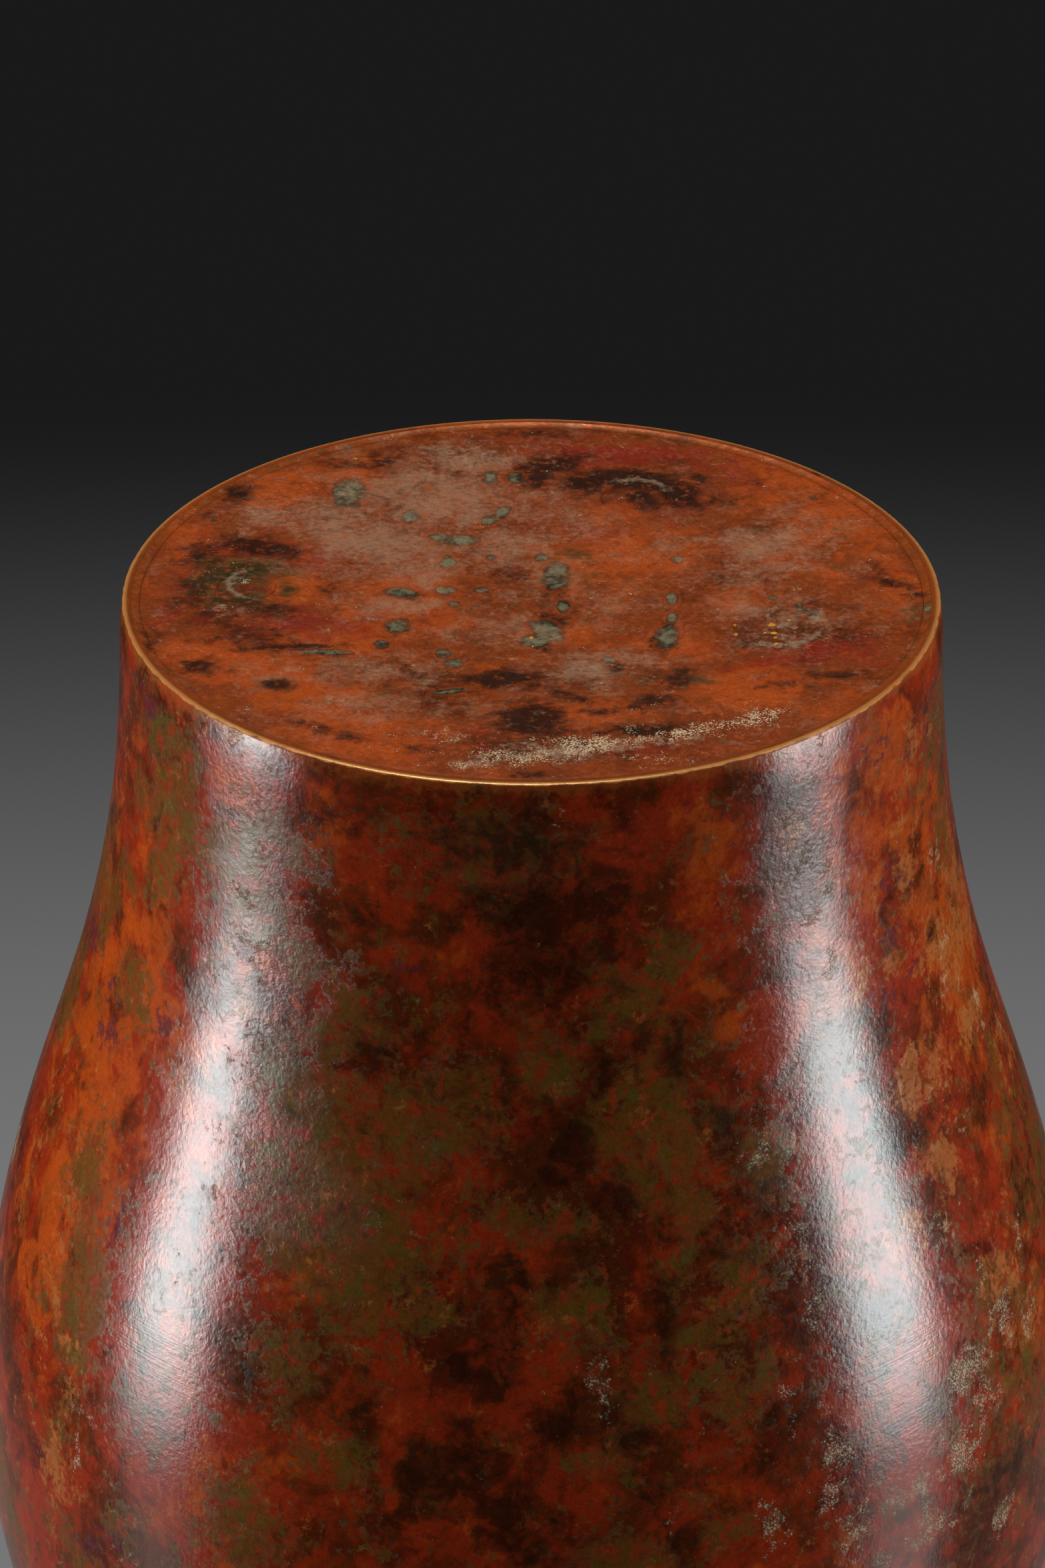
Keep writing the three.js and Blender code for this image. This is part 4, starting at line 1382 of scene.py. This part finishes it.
    def waxed(
        self, colour: Socket, roughness: Socket, metallic: Socket | float, index: float, height: Socket
    ) -> bpy.types.Material:
        """Finishes the material as a waxed patina.

        Args:
            colour: Base colour.
            roughness: Roughness.
            metallic: Share of bare metal.
            index: Index of refraction of the wax.
            height: Relief of the surface, in millimetres.

        Returns:
            The material.
        """
        feeds = {
            "Base Color": colour,
            "Roughness": roughness,
            "Metallic": metallic,
            "IOR": index,
            "Normal": self.step("ShaderNodeBump", {"Strength": 1.0, "Distance": MM, "Height": height}),
        }
        return self.finished(self.step("ShaderNodeBsdfPrincipled", feeds))

    def finished(self, surface: Socket, kind: str = "ShaderNodeOutputMaterial") -> bpy.types.ID:
        """Links the shader to the output and returns the material or surround."""
        self.feed(self.nodes.new(kind).inputs["Surface"], surface)
        return self.owner


@dataclass(frozen=True)
class WallPatinaAndPaintedLight:
    """Glossy, waxed patina of the wall: reds under smoky brown, olive glazes and black stains. It is
    brighter vermilion on the sides and browner at the front middle, partly painted light and painted shade.
    """

    maroon: Colour = linear(82, 24, 8)
    red: Colour = linear(138, 40, 12)
    vermilion: Colour = linear(164, 66, 14)
    brown: Colour = linear(72, 32, 8)
    olive_brown: Colour = linear(98, 60, 16)
    olive_green: Colour = linear(80, 72, 20)
    black: Colour = linear(32, 14, 5)
    slate: Colour = linear(66, 66, 54)
    plum: Colour = linear(84, 36, 44)
    amber: Colour = linear(158, 90, 40)
    cream: Colour = linear(176, 148, 112)
    verdigris: Colour = linear(168, 160, 128)
    rim: Colour = linear(158, 80, 30)
    gold: Colour = linear(206, 138, 72)
    inside: Colour = linear(46, 30, 20)
    fine: tuple[float, ...] = (0.9, 1.0, 6, 0.7)
    rim_height: tuple[float, float] = (0.4, 2.2)
    bare_height: tuple[float, float] = (0.1, 0.32)
    bare_reach: tuple[float, float] = (55.7, 56.2)
    turned_lines: tuple[tuple[float, float, float], ...] = ((90.0, 7.0, 1.0), (99.0, 6.0, 0.5))
    roughness: float = 0.17
    metal: float = 0.03
    index: float = 1.3

    def _ground(self, graph: Graph) -> Socket:
        """Clouds of maroon, red and vermilion under smoky brown. The vermilion sides and the browner, darker
        front middle are partly painted light and painted shade.
        """
        warm = graph.times(graph.strength(Tone.WARM), 0.9)
        warm = graph.total(warm, graph.swing(15, 0.16), graph.swing(5, 0.16, 8, 0.6, 0.4))
        colour = graph.tint(graph.ramp(warm, -0.28, 0.26), self.maroon, self.red)
        sunny = graph.ramp(warm, 0.42, 0.88)
        colour = graph.tint(sunny, colour, self.vermilion)
        smoke = graph.total(graph.swing(9, 0.26, 8, 0.62, 0.5), graph.times(graph.fine, 0.08))
        # Partly painted shade: the smoky brown lies thicker away from the vermilion, most of all on the
        # front middle.
        shade = graph.math("MULTIPLY_ADD", sunny, -0.6, 0.82)
        return graph.wash(colour, self.brown, graph.ramp(smoke, -0.2, 0.42), shade)

    def _olive(self, graph: Graph, colour: Socket) -> tuple[Socket, Socket]:
        """Glazes of olive brown and green, broken by crisp islets of red, and how far they cover."""
        glaze = graph.times(graph.strength(Tone.OLIVE), 1.2)
        glaze = graph.total(glaze, graph.swing(6, 0.18, 8, 0.66, 0.5), graph.times(graph.fine, 0.08))
        lace = graph.total(glaze, graph.swing(1.5, 0.2, 6, 0.7, 0.3))
        crisp = graph.ramp(lace, 0.3, 0.5)
        cover = graph.total(graph.times(graph.ramp(glaze, 0.05, 0.8), 0.35), graph.times(crisp, 0.65))
        green = graph.ramp(graph.swing(3.6, 0.4, 5, 0.6), -0.1, 0.9)
        colour = graph.wash(colour, graph.tint(green, self.olive_brown, self.olive_green), cover, 0.85)
        border = graph.hump(lace, 0.38, 0.1)
        colour = graph.wash(colour, self.slate, border, graph.ramp(glaze, 0.15, 0.45), 0.4)
        islets = graph.swing(2.3, 1.0, 7, 0.62, 0.4)
        colour = graph.wash(colour, self.red, graph.ramp(islets, 0.85, 1.1), cover, 0.75)
        colour = graph.wash(colour, self.slate, graph.hump(islets, 0.8, 0.16), cover, 0.45)
        specks = graph.ramp(graph.fine, 0.9, 1.5)
        return graph.wash(colour, self.slate, specks, graph.hump(glaze, 0.5, 0.42), 0.3), crisp

    def _marks(self, graph: Graph, colour: Socket) -> Socket:
        """Amber windows, black clouds with brown halos, plum stains and cream streaks."""
        amber = graph.area(Tone.AMBER, 0.1, 4.4, 0.2, 7, 0.66)
        colour = graph.wash(colour, self.amber, graph.ramp(amber, 0.3, 0.85), 0.8)
        clean = graph.times(graph.strength(Tone.WARM), -0.35)
        dark = graph.total(clean, graph.area(Tone.DARK, 0.08, 3.6, 0.22, 8, 0.68, 0.4))
        colour = graph.wash(colour, self.brown, graph.ramp(dark, 0.08, 0.42), 0.52)
        colour = graph.wash(colour, self.black, graph.ramp(dark, 0.34, 0.84), 0.66)
        plum = graph.area(Tone.PLUM, 0.0, 1.6, 0.22, 6, 0.68)
        colour = graph.wash(colour, self.plum, graph.ramp(plum, 0.4, 0.85), 0.75)
        cream = graph.area(Tone.CREAM, 0.0, 1.7, 0.24, 7, 0.68, 0.8)
        return graph.wash(colour, self.cream, graph.ramp(cream, 0.62, 1.15), 0.6)

    def _bloom(self, graph: Graph, colour: Socket) -> tuple[Socket, Socket]:
        """Fine specks of verdigris, and where they lie."""
        area = graph.area(Tone.BLOOM, 0.0, 2.4, 0.2, 6, 0.66)
        specks = graph.ramp(graph.total(graph.times(area, 0.4), graph.swing(0.3, 0.3, 3, 0.7)), 0.46, 0.62)
        bloom_and_glints = graph.times(specks, graph.ramp(area, 0.45, 0.8))
        colour = graph.wash(colour, self.cream, graph.ramp(area, 0.45, 1.2), 0.14)
        return graph.wash(colour, self.verdigris, bloom_and_glints, 0.8), bloom_and_glints

    def _foot(self, graph: Graph, colour: Socket) -> tuple[Socket, Socket]:
        """An amber band above the foot's edge and bare metal on the edge, and where it is bare."""
        x, y, z = graph.split_place()
        height = graph.times(z, 1.0 / MM)
        reach = graph.times(graph.math("SQRT", graph.total(graph.times(x, x), graph.times(y, y))), 1.0 / MM)
        uneven = graph.total(height, graph.swing(6, 0.5, 5, 0.66), graph.swing(0.9, 0.2))
        band = graph.ramp(uneven, *self.rim_height, 1.0, 0.0)
        colour = graph.wash(colour, self.rim, band, 0.5)
        low = graph.ramp(graph.total(height, graph.swing(2.6, 0.06, 4)), *self.bare_height, 1.0, 0.0)
        bare = graph.times(low, graph.ramp(reach, *self.bare_reach))
        return graph.wash(colour, self.gold, bare, 0.8), bare

    def _height(self, graph: Graph, cover: Socket, bloom_and_glints: Socket, crust_share: Socket) -> Socket:
        """Relief in millimetres: fine peel, hammered crust, raised glazes, specks and turned lines."""
        peel = graph.total(graph.swing(0.7, 0.0028, 3, 0.6), graph.swing(7, 0.003, 1, 0.5))
        crust = graph.total(graph.swing(0.8, 0.006, 4, 0.6, 0.3), graph.swing(2.6, 0.004, 2, 0.5, 0.5))
        ledge = graph.times(cover, graph.math("MULTIPLY_ADD", crust_share, 0.02, 0.003))
        lines = graph.math("SUBTRACT", graph.noise(0.3, 2, 0.6, 0.0, (0.012, 0.012, 1.0)), 0.5)
        height = graph.times(graph.split_place()[2], 1.0 / MM)
        band = 0.05
        for middle, half, peak in self.turned_lines:
            band = graph.total(band, graph.times(graph.hump(height, middle, half), peak))
        relief = graph.total(peel, graph.times(graph.fine, 0.0008), graph.times(crust, crust_share), ledge)
        return graph.total(relief, graph.times(bloom_and_glints, 0.03), graph.times(lines, band, 0.03))

    def material(self, name: str) -> bpy.types.Material:
        """Builds the material: ground, glazes, marks, specks, grain, worn edge, relief and gloss."""
        graph = Graph(bpy.data.materials.new(name), grain=self.fine)
        colour = self._ground(graph)
        colour, cover = self._olive(graph, colour)
        colour = self._marks(graph, colour)
        colour, bloom_and_glints = self._bloom(graph, colour)
        colour = graph.grained(colour, graph.swing(0.3, 0.06, 3, 0.65), graph.times(graph.fine, 0.07))
        colour, bare = self._foot(graph, colour)
        inside = graph.strength("inside")
        colour = graph.wash(colour, self.inside, inside, 0.85)
        crust_share = graph.ramp(graph.area(Tone.ROUGH, 0.0, 6, 0.16), 0.3, 0.95)
        rougher = ((cover, 0.04), (crust_share, 0.1), (bloom_and_glints, 0.3), (inside, 0.35), (bare, 0.2))
        roughness = graph.total(self.roughness, graph.times(graph.fine, 0.015))
        for share, more in rougher:
            roughness = graph.total(roughness, graph.times(share, more))
        metallic = graph.math("MULTIPLY_ADD", bare, 0.2, self.metal)
        height = self._height(graph, cover, bloom_and_glints, crust_share)
        return graph.waxed(colour, roughness, metallic, self.index, height)


@dataclass(frozen=True)
class BasePatinaAndPaintedLight:
    """Satin patina of the base: rust and orange with a painted reflection sheen, crimson, black stains and
    grey-green spots, painted highlights round the plugs and a painted reflection band with painted glints at
    the front.
    """

    brown: Colour = linear(94, 40, 15)
    rust: Colour = linear(138, 60, 20)
    orange: Colour = linear(180, 76, 20)
    # Colour of the painted reflection sheen on the base.
    painted_sheen: Colour = linear(164, 120, 90)
    crimson: Colour = linear(142, 38, 24)
    black: Colour = linear(46, 24, 14)
    olive: Colour = linear(96, 64, 26)
    moss: Colour = linear(50, 46, 20)
    grey_green: Colour = linear(122, 120, 92)
    slate: Colour = linear(52, 50, 32)
    cream: Colour = linear(178, 144, 112)
    # Colour of the pale specks. In the front band they are painted glints.
    glint_speck: Colour = linear(212, 190, 150)
    gold: Colour = linear(222, 152, 40)
    # Colour of the painted highlight along the crescents round the plugs.
    ridge_highlight: Colour = linear(150, 126, 100)
    rim: Colour = linear(150, 66, 18)
    fine: tuple[float, ...] = (0.8, 1.0, 6, 0.72)
    roughness: float = 0.4
    metal: float = 0.03
    index: float = 1.2

    def _ground(self, graph: Graph) -> Socket:
        """Clouds of brown, rust and orange, grained all over."""
        warm = graph.times(graph.strength(Tone.WARM), 0.9)
        warm = graph.total(warm, graph.swing(14, 0.2), graph.swing(5, 0.13, 8, 0.64, 0.5))
        colour = graph.tint(graph.ramp(warm, -0.5, 0.1), self.brown, self.rust)
        colour = graph.tint(graph.ramp(warm, 0.1, 0.85), colour, self.orange)
        rim = graph.area("rim", 0.0, 5, 0.2, 6, 0.66)
        colour = graph.wash(colour, self.rim, graph.ramp(rim, 0.5, 1.2), 0.6)
        grain = graph.total(graph.swing(1.3, 0.3, 7, 0.7), graph.times(graph.fine, 0.14))
        grainy = graph.ramp(graph.swing(10, 0.3), -0.35, 0.4)
        return graph.wash(colour, self.brown, graph.ramp(grain, 0.0, 0.8), grainy, 0.6)

    def _veils(self, graph: Graph, colour: Socket) -> Socket:
        """Olive, a painted reflection sheen and crimson laid thinly over the ground."""
        olive = graph.area(Tone.OLIVE, 0.1, 2.8, 0.2, 7, 0.68)
        colour = graph.wash(colour, self.olive, graph.ramp(olive, 0.3, 0.85), 0.8)
        crimson = graph.area(Tone.CRIMSON, 0.08, 4, 0.22, 7, 0.66, 0.5)
        colour = graph.wash(colour, self.crimson, graph.ramp(crimson, 0.2, 0.95), 0.75)
        # Painted reflection: a veil of pale sheen laid over the base.
        painted_sheen = graph.area(Tone.PAINTED_SHEEN, 0.08, 5, 0.16, 7, 0.66, 0.6)
        colour = graph.wash(colour, self.painted_sheen, graph.ramp(painted_sheen, 0.0, 1.1), 0.8)
        return graph.wash(colour, self.moss, graph.ramp(olive, 0.8, 1.3), 0.85)

    def _spots(self, graph: Graph, colour: Socket) -> Socket:
        """Black stains with brown halos, and grey-green spots with dark edges and an orange halo."""
        dark = graph.area(Tone.DARK, 0.06, 2.4, 0.13, 8, 0.7, 0.3)
        colour = graph.wash(colour, self.brown, graph.ramp(dark, 0.05, 0.5), 0.5)
        colour = graph.wash(colour, self.black, graph.ramp(dark, 0.26, 0.84), 0.88)
        green = graph.area(Tone.GREY_GREEN, 0.03, 1.6, 0.08, 4, 0.6)
        colour = graph.wash(colour, self.orange, graph.hump(green, 0.2, 0.16), 0.4)
        mottle = graph.total(graph.swing(1.8, 0.35, 5, 0.66), graph.times(green, -0.9))
        spot = graph.tint(graph.ramp(mottle, -1.2, 0.3), self.grey_green, self.slate)
        colour = graph.wash(colour, spot, graph.ramp(green, 0.2, 0.66), 0.8)
        return graph.wash(colour, self.black, graph.hump(green, 0.4, 0.18), 0.32)

    def _flecks(self, graph: Graph, colour: Socket) -> tuple[Socket, Socket]:
        """Painted highlights round the plugs, cream crust with a painted reflection band along the front
        edge, pale specks that are partly painted glints, and gold flecks, and where the specks lie.
        """
        # Painted highlight: a pale wash along the crescents round the plugs.
        ridge_highlight = graph.total(graph.strength(Tone.RIDGE_HIGHLIGHT), graph.times(graph.fine, 0.1))
        colour = graph.wash(colour, self.ridge_highlight, graph.ramp(ridge_highlight, 0.2, 0.9), 0.7)
        # Cream crust, and along the front edge a painted reflection band.
        cream = graph.area(Tone.CREAM, 0.06, 1.6, 0.2, 6, 0.66, 0.4)
        colour = graph.wash(colour, self.cream, graph.ramp(cream, 0.2, 1.2), 0.62)
        # Pale specks. In the front band they are painted glints.
        area = graph.area(Tone.BLOOM, 0.0, 2.4, 0.2, 6, 0.66)
        dots = graph.math("SUBTRACT", graph.times(area, 0.46), graph.cells(0.29))
        bloom_and_glints = graph.times(graph.ramp(dots, -0.12, 0.04), graph.ramp(area, 0.25, 0.6))
        colour = graph.wash(colour, self.glint_speck, bloom_and_glints, 0.9)
        gold = graph.area(Tone.GOLD, 0.0, 0.4, 0.04)
        return graph.tint(graph.ramp(gold, 0.45, 0.65), colour, self.gold), bloom_and_glints

    def material(self, name: str) -> bpy.types.Material:
        """Builds the material: ground, veils with a painted reflection sheen, spots, flecks with painted
        highlights, a painted reflection band and painted glints, grain, relief and satin gloss.
        """
        graph = Graph(bpy.data.materials.new(name), grain=self.fine)
        colour = self._ground(graph)
        colour = self._veils(graph, colour)
        colour = self._spots(graph, colour)
        colour, bloom_and_glints = self._flecks(graph, colour)
        colour = graph.grained(colour, graph.swing(0.28, 0.07, 3, 0.65), graph.times(graph.fine, 0.08))
        roughness = graph.total(self.roughness, graph.times(bloom_and_glints, 0.3), graph.swing(4, 0.03, 5, 0.66))
        crust = graph.ramp(graph.area(Tone.ROUGH, 0.0, 4, 0.12), 0.3, 0.95)
        height = graph.total(
            graph.swing(1.6, 0.008),
            graph.swing(5, 0.016, 3, 0.5),
            graph.times(graph.fine, 0.003),
            graph.times(graph.swing(1.1, 0.025, 4, 0.6), crust),
            graph.times(bloom_and_glints, 0.03),
            graph.times(graph.strength(Tone.RIDGE_HIGHLIGHT), 0.12),
        )
        return graph.waxed(colour, roughness, self.metal, self.index, height)


# Studio


@dataclass(frozen=True)
class Panel:
    """A soft rectangular lamp. It lights surfaces, or shows in their gloss, or both."""

    name: str
    place: Triple
    target: Triple
    size: tuple[float, float]
    radiance: float
    lights: bool = True
    shines: bool = True
    tint: Colour = EVEN

    def build(self) -> None:
        """Makes the lamp, facing its target, with its width level where it can be."""
        lamp = bpy.data.lights.new(self.name, "AREA")
        lamp.shape = "RECTANGLE"
        lamp.size, lamp.size_y = self.size
        lamp.energy = self.radiance * math.pi * self.size[0] * self.size[1]
        lamp.color = self.tint
        thing = link(self.name, lamp)
        place = Vector(self.place)
        thing.location = place
        thing.rotation_euler = (Vector(self.target) - place).to_track_quat("-Z", "Y").to_euler()
        thing.visible_camera = False
        thing.visible_diffuse = self.lights
        thing.visible_glossy = self.shines


@dataclass(frozen=True)
class Strip:
    """A height at which each side has a lamp that shows only in the gloss."""

    name: str
    middle: float
    tall: float
    left: float
    right: float


@dataclass(frozen=True)
class PhotoCamera:
    """The photograph's camera. It looks up at the vase's base from the front and is turned half round."""

    elevation: float = 26.52
    distance: float = 0.969
    pitch: float = 28.09
    yaw: float = -0.081
    focal: float = 10512.0
    picture_height: float = 2352.0
    sensor: float = 36.0
    clip: tuple[float, float] = (0.01, 20.0)

    def build(self) -> None:
        """Makes the camera and sets it as the scene's own."""
        camera = bpy.data.cameras.new("photo_camera")
        camera.sensor_width = self.sensor
        camera.lens = self.focal / self.picture_height * self.sensor
        camera.clip_start, camera.clip_end = self.clip
        rise = math.radians(self.elevation)
        pitch = math.radians(self.pitch)
        yaw = math.radians(self.yaw)
        ahead = Vector((-math.sin(yaw) * math.cos(pitch), math.cos(yaw) * math.cos(pitch), math.sin(pitch)))
        right = Vector((-math.cos(yaw), -math.sin(yaw), 0.0))
        turned = Matrix((right, right.cross(ahead), -ahead)).transposed().to_4x4()
        eye = Vector((0.0, -math.cos(rise), -math.sin(rise))) * self.distance
        thing = link("photo_camera", camera)
        thing.matrix_world = Matrix.Translation(eye) @ turned
        bpy.context.scene.camera = thing


@dataclass(frozen=True)
class Studio:
    """A plain pale floor, a grey surround that is dark towards the photograph's top, and soft lamps.

    Sizes are metres. The strips on each side make the two tall highlights: the strip itself, a fade below
    it in the photograph, a weak glow further on and a weak one under the floor. They have a cool tint.
    """

    floor_size: float = 4.4
    floor_drop: float = 0.0002
    floor_fade: tuple[float, float] = (0.4, 1.8)
    floor_colour: Colour = linear(226, 224, 221)
    surround: tuple[float, float] = (0.01, 0.18)
    surround_rise: tuple[float, float] = (0.42, 0.53)
    fill: float = 0.25
    cool: Colour = (0.8, 0.98, 1.0)
    strip_left: Triple = (0.65, -0.15, 0.19)
    strip_right: Triple = (-0.65, -0.16, 0.22)
    strips: tuple[Strip, ...] = (
        Strip("strip", 0.115, 0.17, 35.5, 31.0),
        Strip("under", -0.47, 1.0, 5.0, 5.0),
        Strip("fade", 0.245, 0.09, 16.0, 15.0),
        Strip("glow", 0.6, 0.62, 1.6, 2.6),
    )
    middle: Triple = (0.0, 0.0, 0.1)
    side_size: tuple[float, float] = (1.6, 1.9)

    def _floor(self) -> None:
        """The floor under the foot. It fades into the surround, and from below it lets sight through."""
        half = self.floor_size / 2
        mesh = bpy.data.meshes.new("floor")
        corners = [(-half, -half, 0), (half, -half, 0), (half, half, 0), (-half, half, 0)]
        mesh.from_pydata(corners, [], [(0, 1, 2, 3)])
        thing = link("floor", mesh)
        thing.location = (0.0, 0.0, -self.floor_drop)
        graph = Graph(bpy.data.materials.new("pale_floor"))
        reach = graph.step("ShaderNodeVectorMath", {0: graph.place}, "Value", operation="LENGTH")
        feeds = {"Value": reach, "From Min": self.floor_fade[0], "From Max": self.floor_fade[1]}
        fade = graph.step("ShaderNodeMapRange", feeds, interpolation_type="SMOOTHERSTEP")
        gone = graph.math("MAXIMUM", graph.step("ShaderNodeNewGeometry", {}, "Backfacing"), fade)
        paint = graph.step("ShaderNodeBsdfDiffuse", {"Color": self.floor_colour})
        clear = graph.step("ShaderNodeBsdfTransparent", {})
        choice = graph.step("ShaderNodeMixShader", {0: gone, 1: paint, 2: clear})
        mesh.materials.append(graph.finished(choice))
        thing.visible_diffuse = False
        thing.visible_glossy = False
        thing.visible_shadow = False

    def _world(self) -> None:
        """A graded grey for the camera, gloss and glass, and a plain fill light for the rest."""
        world = bpy.data.worlds.new("surround")
        bpy.context.scene.world = world
        graph = Graph(world, "Generated")
        rays = graph.nodes.new("ShaderNodeLightPath").outputs
        seen = graph.total(rays["Is Camera Ray"], rays["Is Glossy Ray"], rays["Is Transmission Ray"])
        grade = graph.ramp(graph.split_place()[2], *self.surround_rise, *self.surround)
        strength = graph.step("ShaderNodeMapRange", {"Value": seen, "To Min": self.fill, "To Max": grade})
        light = graph.step("ShaderNodeBackground", {"Color": EVEN, "Strength": strength})
        graph.finished(light, "ShaderNodeOutputWorld")

    def _strip_panels(self) -> list[Panel]:
        """The lamps of the strips, left and right at each height."""
        found = []
        for strip in self.strips:
            for side, (x, y, wide) in (("left", self.strip_left), ("right", self.strip_right)):
                radiance = strip.left if side == "left" else strip.right
                name = f"{strip.name}_{side}"
                ends = ((x, y, strip.middle), (0.0, y, strip.middle))
                size = (wide, strip.tall)
                found.append(Panel(name, *ends, size, radiance, lights=False, tint=self.cool))
        return found

    def _panels(self) -> list[Panel]:
        """The strips, wide lamps at both sides, a glint for the foot's edge, a base fill and a top lamp."""
        low = (0.2, -0.1, -1.2)
        return self._strip_panels() + [
            Panel("side_left", (2.05, 0.55, 0.1), self.middle, self.side_size, 5.7, shines=False),
            Panel("side_right", (-2.05, 0.55, 0.1), self.middle, self.side_size, 4.4, shines=False),
            Panel("edge_glint", low, (*low[:2], 0.0), (0.7, 0.4), 30.0, lights=False, tint=self.cool),
            Panel("base_fill", (0.0, 0.0, -1.3), (0.0, 0.0, 0.0), (1.1, 1.1), 2.2, shines=False),
            Panel("overhead", (0.2, 0.0, 1.5), self.middle, (0.9, 0.9), 3.0),
        ]

    def build(self) -> None:
        """Makes the floor, the surround and the lamps."""
        self._floor()
        self._world()
        for panel in self._panels():
            panel.build()


# The vase


WALL_PLUGS = {
    "wall_plug_front_left": WallHole(4.6, 47.0, 214.5),
    "wall_plug_front_right": WallHole(3.2, 38.5, 303.0),
    "wall_plug_back_right": WallHole(3.8, 43.0, 34.0),
    "wall_plug_back_left": WallHole(3.8, 43.0, 123.5),
}

BASE_PLUGS = (
    BasePlugPlace("back_base_plug", "base_plug_back", 4.6, 34.7, 114.7, 0.25, 0.12, 140.0),
    BasePlugPlace("front_base_plug", "base_plug_front", 3.8, 46.2, 263.8, 0.22, 0.08, 90.0),
    BasePlugPlace("right_base_plug", "base_plug_right", 4.0, 39.6, 4.3, 0.25, 0.12, 180.0),
    BasePlugPlace("left_base_plug", "base_plug_left", 6.2, 35.3, 195.6, 0.12, 0.0, 0.0),
)

BODY_NODES = ("body_lower", "body_shoulder", "body_neck")


def placed(piece: bpy.types.Object, nodes: tuple[str, ...], finish: bpy.types.Material) -> None:
    """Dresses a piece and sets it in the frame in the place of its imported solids.

    Args:
        piece: The new piece.
        nodes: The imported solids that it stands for.
        finish: Its material.
    """
    piece.data.materials.append(finish)
    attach(piece, "root")
    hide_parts(*nodes)
    LOG.info("%s: %d faces", piece.name, len(piece.data.polygons))


def wall_patches() -> PatchMap:
    """The wall's patches: those in the photograph, and scattered ones where it doesn't reach."""
    random = np.random.default_rng(21)
    patches = dict(WALL_SEEN)
    for scatter in WALL_SCATTER:
        patches[scatter.tone] = patches.get(scatter.tone, ()) + scatter.patches(random)
    return PatchMap(patches)


def main() -> None:
    """Builds the vase piece by piece, then the studio and the camera."""
    logging.basicConfig(level=logging.INFO, format="%(name)s: %(message)s")
    wall_map = wall_patches()
    base_map = PatchMap(BASE_SEEN)
    wall_finish = WallPatinaAndPaintedLight().material("wall_patina_and_painted_light")
    body = BodyCasting(tuple(WALL_PLUGS.values()), wall_map).build()
    placed(body, BODY_NODES, wall_finish)
    plate = BasePlate(BASE_PLUGS, base_map).build()
    placed(plate, ("base_plate",), BasePatinaAndPaintedLight().material("base_patina"))
    plug_finish = replace(BasePatinaAndPaintedLight(), rust=linear(112, 50, 22), roughness=0.36).material("plug_patina_and_painted_light")
    for place in BASE_PLUGS:
        placed(BasePlug(place, base_map).build(), (place.node,), plug_finish)
    ring = SolderRing(base_map).build()
    ring_finish = replace(BasePatinaAndPaintedLight(), rust=linear(146, 70, 22), brown=linear(104, 48, 16), metal=0.2)
    placed(ring, ("base_solder_ring",), ring_finish.material("solder_line"))
    for name, hole in WALL_PLUGS.items():
        placed(WallPlug("flush_" + name, hole, wall_map).build(), (name,), wall_finish)
    Studio().build()
    PhotoCamera().build()
    bpy.context.scene.view_settings.view_transform = "Standard"


if __name__ == "__main__":
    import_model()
    main()
